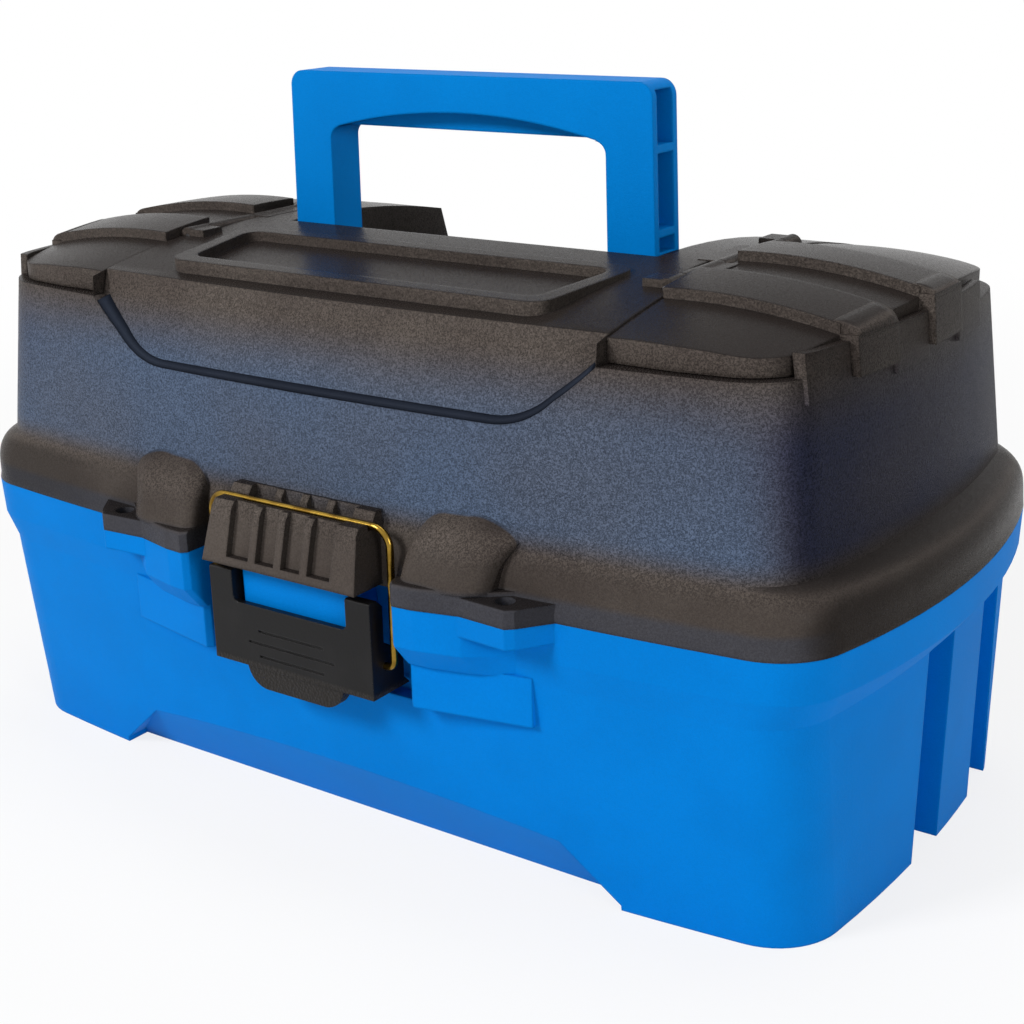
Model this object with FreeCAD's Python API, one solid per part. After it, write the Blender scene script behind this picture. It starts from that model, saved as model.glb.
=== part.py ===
"""Two-tray tackle box: moulded tub, see-through lid with two bin doors, latch, handle and trays.

Millimetres.  X runs along the box, -Y is the latch side, +Z is up.  The origin is the middle of
the tub's underside, so Z = 0 is the floor.  Most pieces are symmetric about X = 0.
"""
import FreeCAD, Part
import math
import os

V = FreeCAD.Vector

# ---------------------------------------------------------------- driving dimensions
# plan outlines: half length, half depth, bow of the long side, bow of the end, corner radius
RIM_HALF_LENGTH = 206.0
RIM_HALF_DEPTH = 112.4
RIM_SIDE_BOW = 14.0
RIM_END_BOW = 20.0
RIM_CORNER = 27.6
BODY_SIDE_BOW = 13.0
BODY_END_BOW = 14.0
BODY_CORNER = 26.0
FOOT_END_BOW = 8.5

TUB_WALL = 2.6
TUB_FLOOR = 3.0
TUB_FOOT_INSET_LENGTH = 10.6        # rim to foot, along X
TUB_FOOT_INSET_DEPTH = 11.0         # rim to foot, along Y
TUB_NECK_INSET_LENGTH = 8.4         # rim to wall just under the flange
TUB_NECK_INSET_DEPTH = 2.6
FLANGE_DRAFT = 0.6
NECK_Z = 84.0
FLANGE_Z = 94.0
PARTING_Z = 109.0

LID_WALL = 2.5
SHOULDER_Z = 131.0
SHOULDER_INSET_LENGTH = 13.4
SHOULDER_INSET_DEPTH = 4.6
WALL_DRAFT = math.tan(math.radians(5.2))
DECK_Z = 194.0                      # rim of the lid under the bin doors
CROWN_Z = 212.5
CROWN_RADIUS = 430.0
ROOF_HALF_DEPTH = RIM_HALF_DEPTH - 21.4

PANEL_Z = 171.2                     # lower edge of the sunk front panel
PANEL_STEP = 2.2
PANEL_HALF_WIDTH = 76.0
PANEL_TOP_HALF_WIDTH = 115.0

REGISTER_LIP = 2.4
RUN_CLEARANCE = 0.4
PIN_CLEARANCE = 0.1                 # radial, between a pin and the hole that turns on it

ARCH_HEIGHT = 28.6
ARCH_FOOT_HALF = 123.0
ARCH_TOP_HALF = 98.0
ARCH_DEPTH = 18.5

SLOT_DEPTH = 12.0
SLOT_WIDTH = 23.5
SLOT_TOP_Z = 86.0
SLOT_TOP_DROP = 3.0
SLOT_STARTS = (-13.0, 46.0)

LATCH_HALF_GAP = 47.5
LATCH_POCKET_Z = 65.5
LATCH_POCKET_DEEP_Y = -RIM_HALF_DEPTH + 11.4
LATCH_POCKET_TOP_Y = -RIM_HALF_DEPTH + 7.4
HORN_FRONT_Y = -RIM_HALF_DEPTH - 12.8
HORN_LIP_TOP_Z = 117.2
HORN_CORNER = 6.5
HORN_FRONT_SHARE = 0.5                # of the hump's width, flat before the outer corner turns
HORN_TURN = 8.0
# rising sections of the horn's hump: height, inner end, outer end, front face
HORN_HUMP = ((116.5, 0.6, 36.0, 3.4), (121.0, 0.9, 36.8, 5.2), (125.5, 1.5, 38.0, 7.0),
             (129.5, 2.4, 40.0, 9.2), (133.5, 3.9, 42.0, 12.6), (137.0, 5.6, 40.5, 16.4),
             (140.5, 7.6, 37.0, 20.6))
LUG_HALF_X = 96.0                   # outer front corner of the padlock lug
LUG_FRONT_Y = -RIM_HALF_DEPTH - 9.6
LUG_TOP_Z = 115.7
LUG_THICKNESS = 6.7
PADLOCK_HOLE = 7.0
PADLOCK_X = 90.0
PADLOCK_Y = -RIM_HALF_DEPTH - 2.2
TUB_LUG_THICKNESS = 7.5
CHEEK_FRONT_Y = -RIM_HALF_DEPTH - 3.6
CHEEK_BOTTOM_Z = 67.6
CHEEK_STEP_Z = 85.0

CATCH_HALF_TOP = 33.4
CATCH_HALF_BASE = 36.0
CATCH_FRONT_Y = -RIM_HALF_DEPTH - 15.6
CATCH_BASE_Z = 110.2
CATCH_TOP_Z = 132.4
CATCH_LEAN = 6.2
CATCH_WALL = 2.4
CATCH_HALF_BAYS = 24.4
CATCH_BAY_DEPTH = 2.8
CATCH_RIB = 3.4
CATCH_RIB_XS = (-12.2, 0.0, 12.2)
FIN_TOP_Z = 135.6

WIRE = 2.7
BAIL_Y = -RIM_HALF_DEPTH - 2.2
BAIL_Z = 131.8
BAIL_SLANT = 0.8                    # the feet stand this much further forward than the top bar
BAIL_HALF = 42.0
BAIL_BEND = 7.0
BAIL_FOOT_Z = 80.4
BAIL_FOOT_Y = BAIL_Y - BAIL_SLANT
LEVER_HALF = 38.0
LEVER_FRONT_Y = -RIM_HALF_DEPTH - 10.4
LEVER_BACK_Y = -RIM_HALF_DEPTH + 6.9
LEVER_TOP_Z = 106.2
LEVER_SILL_Z = 94.0
LEVER_BOTTOM_Z = 69.5
LEVER_LEG = 11.0
LEVER_PLATE = 2.6
LEVER_CHEEK = 4.0
TONGUE_HALF = 23.5
TONGUE_DROP = 8.5

BIN_FLOOR_Z = 167.5
BIN_WALL = 2.0
BIN_RIM = 5.0
DOOR_INNER_X = 115.5
DOOR_LEDGE = 3.6
DOOR_WALL = 2.4
DOOR_GAP = 0.4
DOOR_EDGE_DROP = 8.5
DOOR_SPRING_Z = 190.5
DOOR_AXIS_X = 111.6
DOOR_AXIS_Z = 209.4
DOOR_KNUCKLE = 7.6
DOOR_PIN = 2.4
DOOR_PIN_HALF = 48.0
KNUCKLE_CUTS = (-48.0, -37.0, -10.0, 22.0, 37.0, 48.0)
BAND_RISE = 3.6
BAND_WIDTH = 25.0
BAND_STARTS = (-56.0, -4.0)
TAB_THICKNESS = 2.6
POST_SPANS = ((-79.0, -57.5), (-29.5, -5.5), (22.5, 50.0))
POST_DEPTH = 1.2
POST_BASE_Z = 186.0
POST_TOP_Z = 202.0

FRAME_FRONT_Y = -84.5
FRAME_REAR_Y = -31.0
FRAME_FRONT_HALF = 86.0
FRAME_REAR_HALF = 93.0
FRAME_RAIL = 7.0
FRAME_FRONT_Z = 209.0
FRAME_REAR_Z = 212.9
FRAME_DEPTH = 3.8
FRAME_CORNER = 9.0

HANDLE_HALF_TOP = 84.0
HANDLE_HALF_FOOT = 86.0
HANDLE_LEG = 20.5
HANDLE_FRONT_Y = -10.0
HANDLE_THICKNESS = 17.0
HANDLE_TOP_Z = 273.0
HANDLE_GRIP = 21.3
HANDLE_ARCH = 7.4
HANDLE_AXIS_Z = 203.0
HANDLE_WALL = 3.0
HANDLE_RIB_ZS = (219.5, 249.5)
HANDLE_PIN = 6.0
WELL_GAP = 1.2
WELL_FLAT = 50.0
WELL_REAR_DROP = 13.0

HINGE_Y = RIM_HALF_DEPTH + 6.1
HINGE_Z = 102.0
HINGE_BARREL = 10.0
HINGE_PIN = 4.0
HINGE_XS = (-88.0, 88.0)
HINGE_LUG = 14.0
HINGE_LUGS = 3

TRAY_HALF_LENGTH = RIM_HALF_LENGTH - 36.0
TRAY_FRONT_Y = -RIM_HALF_DEPTH + 23.4
TRAY_BACK_Y = RIM_HALF_DEPTH - 50.4
TRAY_WALL = 2.0
TRAY_CORNER = 18.0
LOWER_TRAY_Z = 91.0
LOWER_TRAY_HEIGHT = 27.5
UPPER_TRAY_GAP = 1.6
UPPER_TRAY_HEIGHT = 30.0
TRAY_SLOT_DEPTH = 0.9
TRAY_CELLS = {"lower": (4, 1), "upper": (5, 3, 1)}       # cells in each row, front to back
DIVIDER = 1.6

LINK_REST = math.radians(15.0)
LOWER_LINK = 50.0
UPPER_LINK = 86.0
LINK_SPACING = 62.0
ARM_WIDTH = 12.0
ARM_THICKNESS = 2.2
ARM_INNER_X = TRAY_HALF_LENGTH + 4.6
ARM_KNEE_RADIUS = 39.0
ARM_SCREWS = ((HINGE_Y - 47.5, 128.0), (HINGE_Y - 46.5, 140.0))
RIVET = 4.0
RIVET_HEAD = 8.0
RIVET_HEAD_THICKNESS = 1.4


# ---------------------------------------------------------------- helpers
def arc(start, middle, end):
    return Part.Arc(start, middle, end).toShape()


def plan(half_x, half_y, side_bow, end_bow, corner, z):
    """Bowed rectangle with round corners as a closed wire of eight arcs at height z."""
    side_r = (half_x ** 2 + side_bow ** 2) / (2 * side_bow)
    end_r = (half_y ** 2 + end_bow ** 2) / (2 * end_bow)
    side_c = (0.0, side_r - half_y)
    end_c = (half_x - end_r, 0.0)
    side_off, end_off = side_r - corner, end_r - corner
    dx, dy = side_c[0] - end_c[0], side_c[1] - end_c[1]
    gap = math.hypot(dx, dy)
    along = (end_off ** 2 - side_off ** 2 + gap ** 2) / (2 * gap)
    across = math.sqrt(end_off ** 2 - along ** 2)
    ux, uy = dx / gap, dy / gap
    cx = end_c[0] + along * ux + across * uy
    cy = end_c[1] + along * uy - across * ux

    def on(centre, radius):
        k = radius / math.hypot(cx - centre[0], cy - centre[1])
        return centre[0] + (cx - centre[0]) * k, centre[1] + (cy - centre[1]) * k

    side_t = on(side_c, side_r)
    end_t = on(end_c, end_r)
    mx, my = (side_t[0] + end_t[0]) / 2 - cx, (side_t[1] + end_t[1]) / 2 - cy
    k = corner / math.hypot(mx, my)
    mid = (cx + mx * k, cy + my * k)

    def p(x, y):
        return V(x, y, z)

    edges = [arc(p(-side_t[0], side_t[1]), p(0, -half_y), p(*side_t)),
             arc(p(*side_t), p(*mid), p(*end_t)),
             arc(p(*end_t), p(half_x, 0), p(end_t[0], -end_t[1])),
             arc(p(end_t[0], -end_t[1]), p(mid[0], -mid[1]), p(side_t[0], -side_t[1])),
             arc(p(side_t[0], -side_t[1]), p(0, half_y), p(-side_t[0], -side_t[1])),
             arc(p(-side_t[0], -side_t[1]), p(-mid[0], -mid[1]), p(-end_t[0], -end_t[1])),
             arc(p(-end_t[0], -end_t[1]), p(-half_x, 0), p(-end_t[0], end_t[1])),
             arc(p(-end_t[0], end_t[1]), p(-mid[0], mid[1]), p(-side_t[0], side_t[1]))]
    return Part.Wire(edges)


def loft(sections, smooth=False):
    return Part.makeLoft(sections, True, not smooth)


def box(x0, x1, y0, y1, z0, z1):
    return Part.makeBox(x1 - x0, y1 - y0, z1 - z0, V(x0, y0, z0))


def cylinder(radius, start, end):
    axis = end.sub(start)
    return Part.makeCylinder(radius, axis.Length, start, axis)


def prism(points, push):
    """Straight-sided prism: points (vectors) closed to a face and pushed along a vector."""
    return Part.Face(Part.makePolygon(points + [points[0]])).extrude(push)


def side_prism(profile, x0, x1):
    """Prism along X of a (y, z) profile."""
    return prism([V(x0, y, z) for y, z in profile], V(x1 - x0, 0, 0))


def front_prism(profile, y0, y1):
    """Prism along Y of an (x, z) profile."""
    return prism([V(x, y0, z) for x, z in profile], V(0, y1 - y0, 0))


def top_prism(profile, z0, z1):
    """Prism along Z of an (x, y) profile."""
    return prism([V(x, y, z0) for x, y in profile], V(0, 0, z1 - z0))


def mirrored(shape, axis=V(1, 0, 0)):
    return shape.mirror(V(0, 0, 0), axis)


def both_sides(shape):
    return [shape, mirrored(shape)]


def fuse(first, others):
    return first.fuse(others).removeSplitter() if others else first


def round_edges(shape, radius, choose):
    return shape.makeFillet(radius, [e for e in shape.Edges if choose(e)])


def along(edge, axis):
    """True if a straight edge runs along the unit vector."""
    a, b = edge.Vertexes[0].Point, edge.Vertexes[-1].Point
    return isinstance(edge.Curve, Part.Line) and abs(b.sub(a).normalize().dot(axis)) > 0.999


def rounded_bar(p0, p1, width, x0, x1):
    """Flat bar with round ends between two (y, z) points, from x0 to x1."""
    a, b = V(x0, *p0), V(x0, *p1)
    d = b.sub(a).normalize()
    n = V(0, -d.z, d.y) * (width / 2)
    d = d * (width / 2)
    wire = Part.Wire([Part.makeLine(a + n, b + n), arc(b + n, b + d, b - n),
                      Part.makeLine(b - n, a - n), arc(a - n, a - d, a + n)])
    return Part.Face(wire).extrude(V(x1 - x0, 0, 0))


# ---------------------------------------------------------------- shared outlines
def rim(inset, z, extra_depth=0.0):
    return plan(RIM_HALF_LENGTH - inset, RIM_HALF_DEPTH - inset - extra_depth, RIM_SIDE_BOW, RIM_END_BOW,
                RIM_CORNER - inset, z)


def tub_section(inset, z):
    """Tub wall below the flange at height z, offset inward by inset."""
    t = z / NECK_Z
    length = TUB_FOOT_INSET_LENGTH + (TUB_NECK_INSET_LENGTH - TUB_FOOT_INSET_LENGTH) * t
    depth = TUB_FOOT_INSET_DEPTH + (TUB_NECK_INSET_DEPTH - TUB_FOOT_INSET_DEPTH) * t
    bow = FOOT_END_BOW + (BODY_END_BOW - FOOT_END_BOW) * t
    return plan(RIM_HALF_LENGTH - length - inset, RIM_HALF_DEPTH - depth - inset,
                BODY_SIDE_BOW, bow, BODY_CORNER - inset, z)


def lid_section(inset, z):
    """Lid wall above the shoulder at height z, offset inward by inset."""
    draft = (z - SHOULDER_Z) * WALL_DRAFT
    return plan(RIM_HALF_LENGTH - SHOULDER_INSET_LENGTH - draft - inset,
                RIM_HALF_DEPTH - SHOULDER_INSET_DEPTH - draft - inset,
                BODY_SIDE_BOW, BODY_END_BOW, BODY_CORNER - inset, z)


def crown(y):
    return CROWN_Z - CROWN_RADIUS + math.sqrt(CROWN_RADIUS ** 2 - y ** 2)


def crown_body(drop, half_x):
    """Everything under the crowned roof, lowered by drop."""
    y = RIM_HALF_DEPTH
    top = arc(V(-half_x, -y, crown(y) - drop), V(-half_x, 0, CROWN_Z - drop), V(-half_x, y, crown(y) - drop))
    base = [V(-half_x, y, crown(y) - drop), V(-half_x, y, 0), V(-half_x, -y, 0), V(-half_x, -y, crown(y) - drop)]
    wire = Part.Wire([top] + Part.makePolygon(base).Edges)
    return Part.Face(wire).extrude(V(2 * half_x, 0, 0))


def front_slope(inset):
    """Tapering body whose sides are the sunk panel and the roof's front slope."""
    at_panel = RIM_HALF_DEPTH - SHOULDER_INSET_DEPTH - (PANEL_Z - SHOULDER_Z) * WALL_DRAFT - PANEL_STEP
    reach = CROWN_Z - PANEL_Z
    lean = (at_panel - ROOF_HALF_DEPTH) / (crown(ROOF_HALF_DEPTH) - PANEL_Z)
    below = 20.0
    return loft([plan(RIM_HALF_LENGTH, at_panel + lean * below - inset, BODY_SIDE_BOW, BODY_END_BOW,
                      BODY_CORNER, PANEL_Z - below),
                 plan(RIM_HALF_LENGTH, at_panel - lean * reach - inset, BODY_SIDE_BOW / 3, BODY_END_BOW,
                      BODY_CORNER, CROWN_Z)])


# ---------------------------------------------------------------- tub
def arch_cut(inset):
    """Wedge taken from under the long side between the feet; inset moves its slope into the tub."""
    top = ARCH_HEIGHT + inset
    y_top = -(RIM_HALF_DEPTH - TUB_FOOT_INSET_DEPTH) - 3.0
    y_foot = y_top + ARCH_DEPTH + inset
    slope = side_prism([(y_top - 30, -1), (y_foot, -1), (y_foot, 0), (y_top + inset, top), (y_top - 30, top)],
                       -ARCH_FOOT_HALF - inset, ARCH_FOOT_HALF + inset)
    outline = [(-ARCH_FOOT_HALF - inset, -1), (-ARCH_FOOT_HALF - inset, 2), (-ARCH_TOP_HALF - inset, top - 5),
               (-ARCH_TOP_HALF + 14 - inset, top), (ARCH_TOP_HALF - 14 + inset, top),
               (ARCH_TOP_HALF + inset, top - 5), (ARCH_FOOT_HALF + inset, 2), (ARCH_FOOT_HALF + inset, -1)]
    return slope.common(front_prism(outline, y_top - 30, y_foot + 1))


def slot_cut(start, inset):
    """Slot open at the bottom in the tub's end, grown by inset for the wall behind it."""
    depth_x = RIM_HALF_LENGTH - TUB_NECK_INSET_LENGTH - SLOT_DEPTH - inset
    drop = SLOT_TOP_DROP * (start - SLOT_STARTS[0]) / (SLOT_STARTS[1] - SLOT_STARTS[0])
    return box(depth_x, RIM_HALF_LENGTH + 5, start - inset, start + SLOT_WIDTH + inset,
               -1, SLOT_TOP_Z - drop + inset)


def latch_pocket(inset):
    profile = [(CATCH_FRONT_Y - 5, LATCH_POCKET_Z - inset), (LATCH_POCKET_DEEP_Y + inset, LATCH_POCKET_Z - inset),
               (LATCH_POCKET_DEEP_Y + inset, LATCH_POCKET_Z + 20), (LATCH_POCKET_TOP_Y + inset, PARTING_Z + 1),
               (CATCH_FRONT_Y - 5, PARTING_Z + 1)]
    return side_prism(profile, -LATCH_HALF_GAP - inset, LATCH_HALF_GAP + inset)


def horn_plan(front_y, drop_out):
    """Plan of the lip that runs round a latch horn and out to the padlock lug."""
    back = -RIM_HALF_DEPTH + 9
    inner = LATCH_HALF_GAP + 0.6
    return [(inner, back), (inner, front_y + 2), (inner + 2, front_y), (inner + 10, front_y + 0.6),
            (inner + 27, front_y + 4.6), (inner + drop_out, back)]


def lug_plan(grow):
    """Plan of the padlock lug: a chamfered nose outside the horn."""
    return [(PADLOCK_X - 17 - grow, LUG_FRONT_Y + 1.5), (LUG_HALF_X - 1.5, LUG_FRONT_Y),
            (LUG_HALF_X + 1.2, LUG_FRONT_Y + 2.2), (LUG_HALF_X + 13 + grow, -RIM_HALF_DEPTH + 8),
            (PADLOCK_X - 17 - grow, -RIM_HALF_DEPTH + 8)]


def padlock_hole(side, z0, z1):
    x = side * PADLOCK_X
    return cylinder(PADLOCK_HOLE / 2, V(x, PADLOCK_Y, z0), V(x, PADLOCK_Y, z1))


def hinge_lugs(carrier):
    """X spans of the knuckles: outer ones on the tub, the middle one on the lid."""
    spans = []
    for centre in HINGE_XS:
        for i in range(HINGE_LUGS):
            x0 = centre + (i - HINGE_LUGS / 2) * HINGE_LUG
            own = RUN_CLEARANCE / 2
            if (i % 2 == 0) == (carrier == "tub"):
                spans.append((x0 + own, x0 + HINGE_LUG - own))
    return spans


def tub_knuckle(x0, x1):
    r = HINGE_BARREL / 2
    barrel = cylinder(r, V(x0, HINGE_Y, HINGE_Z), V(x1, HINGE_Y, HINGE_Z))
    root = RIM_HALF_DEPTH - 6
    web = side_prism([(root, FLANGE_Z + 1), (HINGE_Y - 1, HINGE_Z - r + 0.2), (HINGE_Y - 1, HINGE_Z + r - 2),
                      (root, HINGE_Z + r - 2)], x0, x1)
    return barrel.fuse(web)


def cheek(front_y):
    """Fairing on the tub under a latch horn: a bulge below the parting line over a thin wedge."""
    step = front_y - CHEEK_FRONT_Y + 1.5
    levels = ((PARTING_Z, front_y), (FLANGE_Z, front_y), (CHEEK_STEP_Z, front_y - step))
    bulge = loft([Part.makePolygon([V(x, y, z) for x, y in horn_plan(front, 49) + horn_plan(front, 49)[:1]])
                  for z, front in levels])
    back = -RIM_HALF_DEPTH + 12
    inner = LATCH_HALF_GAP + 0.6
    wedge = top_prism([(inner, back), (inner, CHEEK_FRONT_Y + 2), (inner + 2, CHEEK_FRONT_Y),
                       (LUG_HALF_X - 1, CHEEK_FRONT_Y + 8.5), (LUG_HALF_X - 1, back)],
                      CHEEK_BOTTOM_Z, CHEEK_STEP_Z + 1)
    return bulge.fuse(wedge)


def make_tub():
    outer = loft([tub_section(0, 0), tub_section(0, NECK_Z), rim(FLANGE_DRAFT, FLANGE_Z), rim(0, PARTING_Z)])
    w = TUB_WALL
    inner = loft([tub_section(w, TUB_FLOOR), tub_section(w, NECK_Z), rim(FLANGE_DRAFT + w, FLANGE_Z + 1),
                  rim(w, PARTING_Z + 1)])
    solid = [outer]
    horn_front = HORN_FRONT_Y + 0.4
    nose = top_prism(lug_plan(-1.0), PARTING_Z - TUB_LUG_THICKNESS, PARTING_Z)
    for piece in (cheek(horn_front), nose):
        solid += both_sides(piece)
    body = solid[0].fuse(solid[1:])
    lug_base = PARTING_Z - TUB_LUG_THICKNESS
    cuts = [latch_pocket(0), arch_cut(0), mirrored(arch_cut(0), V(0, 1, 0))]
    cuts += [padlock_hole(side, lug_base - 1, PARTING_Z + 1) for side in (1, -1)]
    for start in SLOT_STARTS:
        cuts += both_sides(slot_cut(start, 0))
    body = body.cut(cuts)

    keep = [latch_pocket(w), arch_cut(w), mirrored(arch_cut(w), V(0, 1, 0))]
    for start in SLOT_STARTS:
        keep += both_sides(slot_cut(start, w))
    for side in (1, -1):
        boss = pivot_boss()
        keep.append(boss if side > 0 else mirrored(boss))
    body = body.cut(inner.cut(keep))

    lip_out = LID_WALL + RUN_CLEARANCE
    lip = loft([rim(lip_out, PARTING_Z - 1), rim(lip_out, PARTING_Z + REGISTER_LIP)])
    lip = lip.cut(loft([rim(lip_out + 1.6, PARTING_Z - 1.5), rim(lip_out + 1.6, PARTING_Z + REGISTER_LIP + 1)]))
    latch_gap = LATCH_HALF_GAP + TUB_WALL
    lip = lip.cut(box(-latch_gap, latch_gap, -RIM_HALF_DEPTH, 0, PARTING_Z - 2, PARTING_Z + 9))
    body = body.fuse([lip] + [tub_knuckle(*span) for span in hinge_lugs("tub")])
    for centre in HINGE_XS:
        body = body.cut(hinge_pin(centre, 0.0))
    for side in (1, -1):
        body = body.cut(base_rivet(side, 0.0))
    return body.removeSplitter()


# ---------------------------------------------------------------- lid
def lid_outer():
    skirt = loft([rim(0, PARTING_Z), rim(0.5, PARTING_Z + 8), rim(1.4, PARTING_Z + 13.5),
                  plan(RIM_HALF_LENGTH - 5.0, RIM_HALF_DEPTH - 2.6, RIM_SIDE_BOW - 0.4, RIM_END_BOW - 2,
                       RIM_CORNER - 0.6, PARTING_Z + 18),
                  plan(RIM_HALF_LENGTH - 9.8, RIM_HALF_DEPTH - 4.0, BODY_SIDE_BOW, BODY_END_BOW + 1.5,
                       BODY_CORNER, PARTING_Z + 20.6),
                  lid_section(0, SHOULDER_Z)], smooth=True)
    wall = loft([lid_section(0, SHOULDER_Z), lid_section(0, CROWN_Z + 6)])
    return skirt.fuse(wall)


def lid_inner():
    w = LID_WALL
    skirt = loft([rim(w, PARTING_Z - 1), rim(w + 0.6, PARTING_Z + 10),
                  lid_section(w, SHOULDER_Z - 1.5)])
    wall = loft([lid_section(w, SHOULDER_Z - 1.5), lid_section(w, CROWN_Z + 6)])
    return skirt.fuse(wall)


def panel_outline(y0, y1):
    top_z = CROWN_Z + 8
    low = PANEL_Z
    out = PANEL_TOP_HALF_WIDTH
    run = PANEL_HALF_WIDTH
    left = [V(-out, y0, top_z), V(-out, y0, DECK_Z)]
    edges = Part.makePolygon(left).Edges
    low_mid, knee, high_mid = (run + 13, low + 2.6), (run + 24, low + 10.0), (run + 32, low + 16.4)
    edges.append(arc(left[-1], V(-high_mid[0], y0, high_mid[1]), V(-knee[0], y0, knee[1])))
    edges.append(arc(V(-knee[0], y0, knee[1]), V(-low_mid[0], y0, low_mid[1]), V(-run, y0, low)))
    edges.append(Part.makeLine(V(-run, y0, low), V(run, y0, low)))
    edges.append(arc(V(run, y0, low), V(low_mid[0], y0, low_mid[1]), V(knee[0], y0, knee[1])))
    edges.append(arc(V(knee[0], y0, knee[1]), V(high_mid[0], y0, high_mid[1]), V(out, y0, DECK_Z)))
    edges += Part.makePolygon([V(out, y0, DECK_Z), V(out, y0, top_z), V(-out, y0, top_z)]).Edges
    return Part.Face(Part.Wire(edges)).extrude(V(0, y1 - y0, 0))


def end_region(inner_x, z0):
    return [box(inner_x, RIM_HALF_LENGTH, -RIM_HALF_DEPTH, RIM_HALF_DEPTH, z0, CROWN_Z + 20),
            box(-RIM_HALF_LENGTH, -inner_x, -RIM_HALF_DEPTH, RIM_HALF_DEPTH, z0, CROWN_Z + 20)]


def horn_section(z, x0, x1, front_y):
    """Plan of the hump at one height: square back, tight inner corner, wide round outer corner."""
    back = -RIM_HALF_DEPTH + 14
    r = HORN_CORNER
    k = r * (1 - math.sqrt(0.5))
    flat_x1 = x0 + HORN_FRONT_SHARE * (x1 - x0)
    turn_y = front_y + HORN_TURN
    bulge = math.sqrt(0.5)
    ends = [V(x0, back, z), V(x0, front_y + r, z), V(x0 + r, front_y, z), V(flat_x1, front_y, z),
            V(x1, turn_y, z), V(x1, back, z)]
    return Part.Wire([Part.makeLine(ends[0], ends[1]),
                      arc(ends[1], V(x0 + k, front_y + k, z), ends[2]),
                      Part.makeLine(ends[2], ends[3]),
                      arc(ends[3], V(flat_x1 + bulge * (x1 - flat_x1), turn_y - bulge * HORN_TURN, z), ends[4]),
                      Part.makeLine(ends[4], ends[5]),
                      Part.makeLine(ends[5], ends[0])])


def horn():
    """Latch guard on the lid: thick lip at the parting line, rounded hump above it."""
    lip = top_prism(horn_plan(HORN_FRONT_Y, 50), PARTING_Z, HORN_LIP_TOP_Z)
    lip = round_edges(lip, 1.8, lambda e: e.BoundBox.ZMin > HORN_LIP_TOP_Z - 0.1 and e.BoundBox.YMax < -113)
    hump = loft([horn_section(z, LATCH_HALF_GAP + a, LATCH_HALF_GAP + b, HORN_FRONT_Y + c)
                 for z, a, b, c in HORN_HUMP], smooth=True)
    return lip.fuse(hump)


def catch_profile(slot_front, slot_back):
    """Side view of the catch: leaning front, trough for the bail between two Y values, fins behind."""
    y0, z0, z1 = CATCH_FRONT_Y, CATCH_BASE_Z, CATCH_TOP_Z
    back = -RIM_HALF_DEPTH + 6
    floor_z = BAIL_Z - WIRE / 2 - 0.25
    return [(y0, z0), (y0 + CATCH_LEAN - 1.0, z1 - 2.6), (y0 + CATCH_LEAN + 1.0, z1), (slot_front, z1),
            (slot_front, floor_z), (slot_back, floor_z), (slot_back, z1 + 0.6),
            (slot_back + 2.0, FIN_TOP_Z), (back, FIN_TOP_Z), (back, z0)]


def catch():
    """Ribbed trough on the lid that holds the bail's top bar; the end blocks grip it."""
    y0, z0, z1 = CATCH_FRONT_Y, CATCH_BASE_Z, CATCH_TOP_Z
    back = -RIM_HALF_DEPTH + 6
    shell = front_prism([(-CATCH_HALF_BASE, z0), (CATCH_HALF_BASE, z0), (CATCH_HALF_TOP, FIN_TOP_Z),
                         (-CATCH_HALF_TOP, FIN_TOP_Z)], y0 - 1, back)
    grip = WIRE / 2 + 0.25
    half = CATCH_HALF_BAYS
    blocks = side_prism(catch_profile(BAIL_Y - grip, BAIL_Y + grip), half, CATCH_HALF_BASE)
    middle = side_prism(catch_profile(BAIL_Y - grip - 1.4, BAIL_Y + grip + 2.0), -half, half)
    solid = middle.fuse(both_sides(blocks)).common(shell)
    keep = [box(x - CATCH_RIB / 2, x + CATCH_RIB / 2, y0 - 5, back + 1, z0 - 1, FIN_TOP_Z + 5)
            for x in CATCH_RIB_XS]
    lean = CATCH_LEAN / (z1 - z0)
    low = z0 + 3.0
    face_y = y0 + CATCH_BAY_DEPTH + lean * (low - z0)
    top_y = y0 + CATCH_BAY_DEPTH + CATCH_LEAN
    bay = side_prism([(y0 - 3, low), (face_y, low), (top_y, z1 + 1), (y0 - 3, z1 + 1)], -half, half)
    hollow = side_prism([(face_y + CATCH_WALL, low), (top_y + CATCH_WALL, z1 - 4.5), (top_y + 1, z1 + 4),
                         (-RIM_HALF_DEPTH + 4, FIN_TOP_Z + 4), (-RIM_HALF_DEPTH + 4, low)], -half, half)
    return solid.cut(bay.fuse(hollow).cut(keep))


def padlock_lug():
    lug = top_prism(lug_plan(0), PARTING_Z, LUG_TOP_Z)
    return round_edges(lug, 1.0, lambda e: e.BoundBox.ZMin > LUG_TOP_Z - 0.1 and e.BoundBox.YMax < -113)


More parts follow.
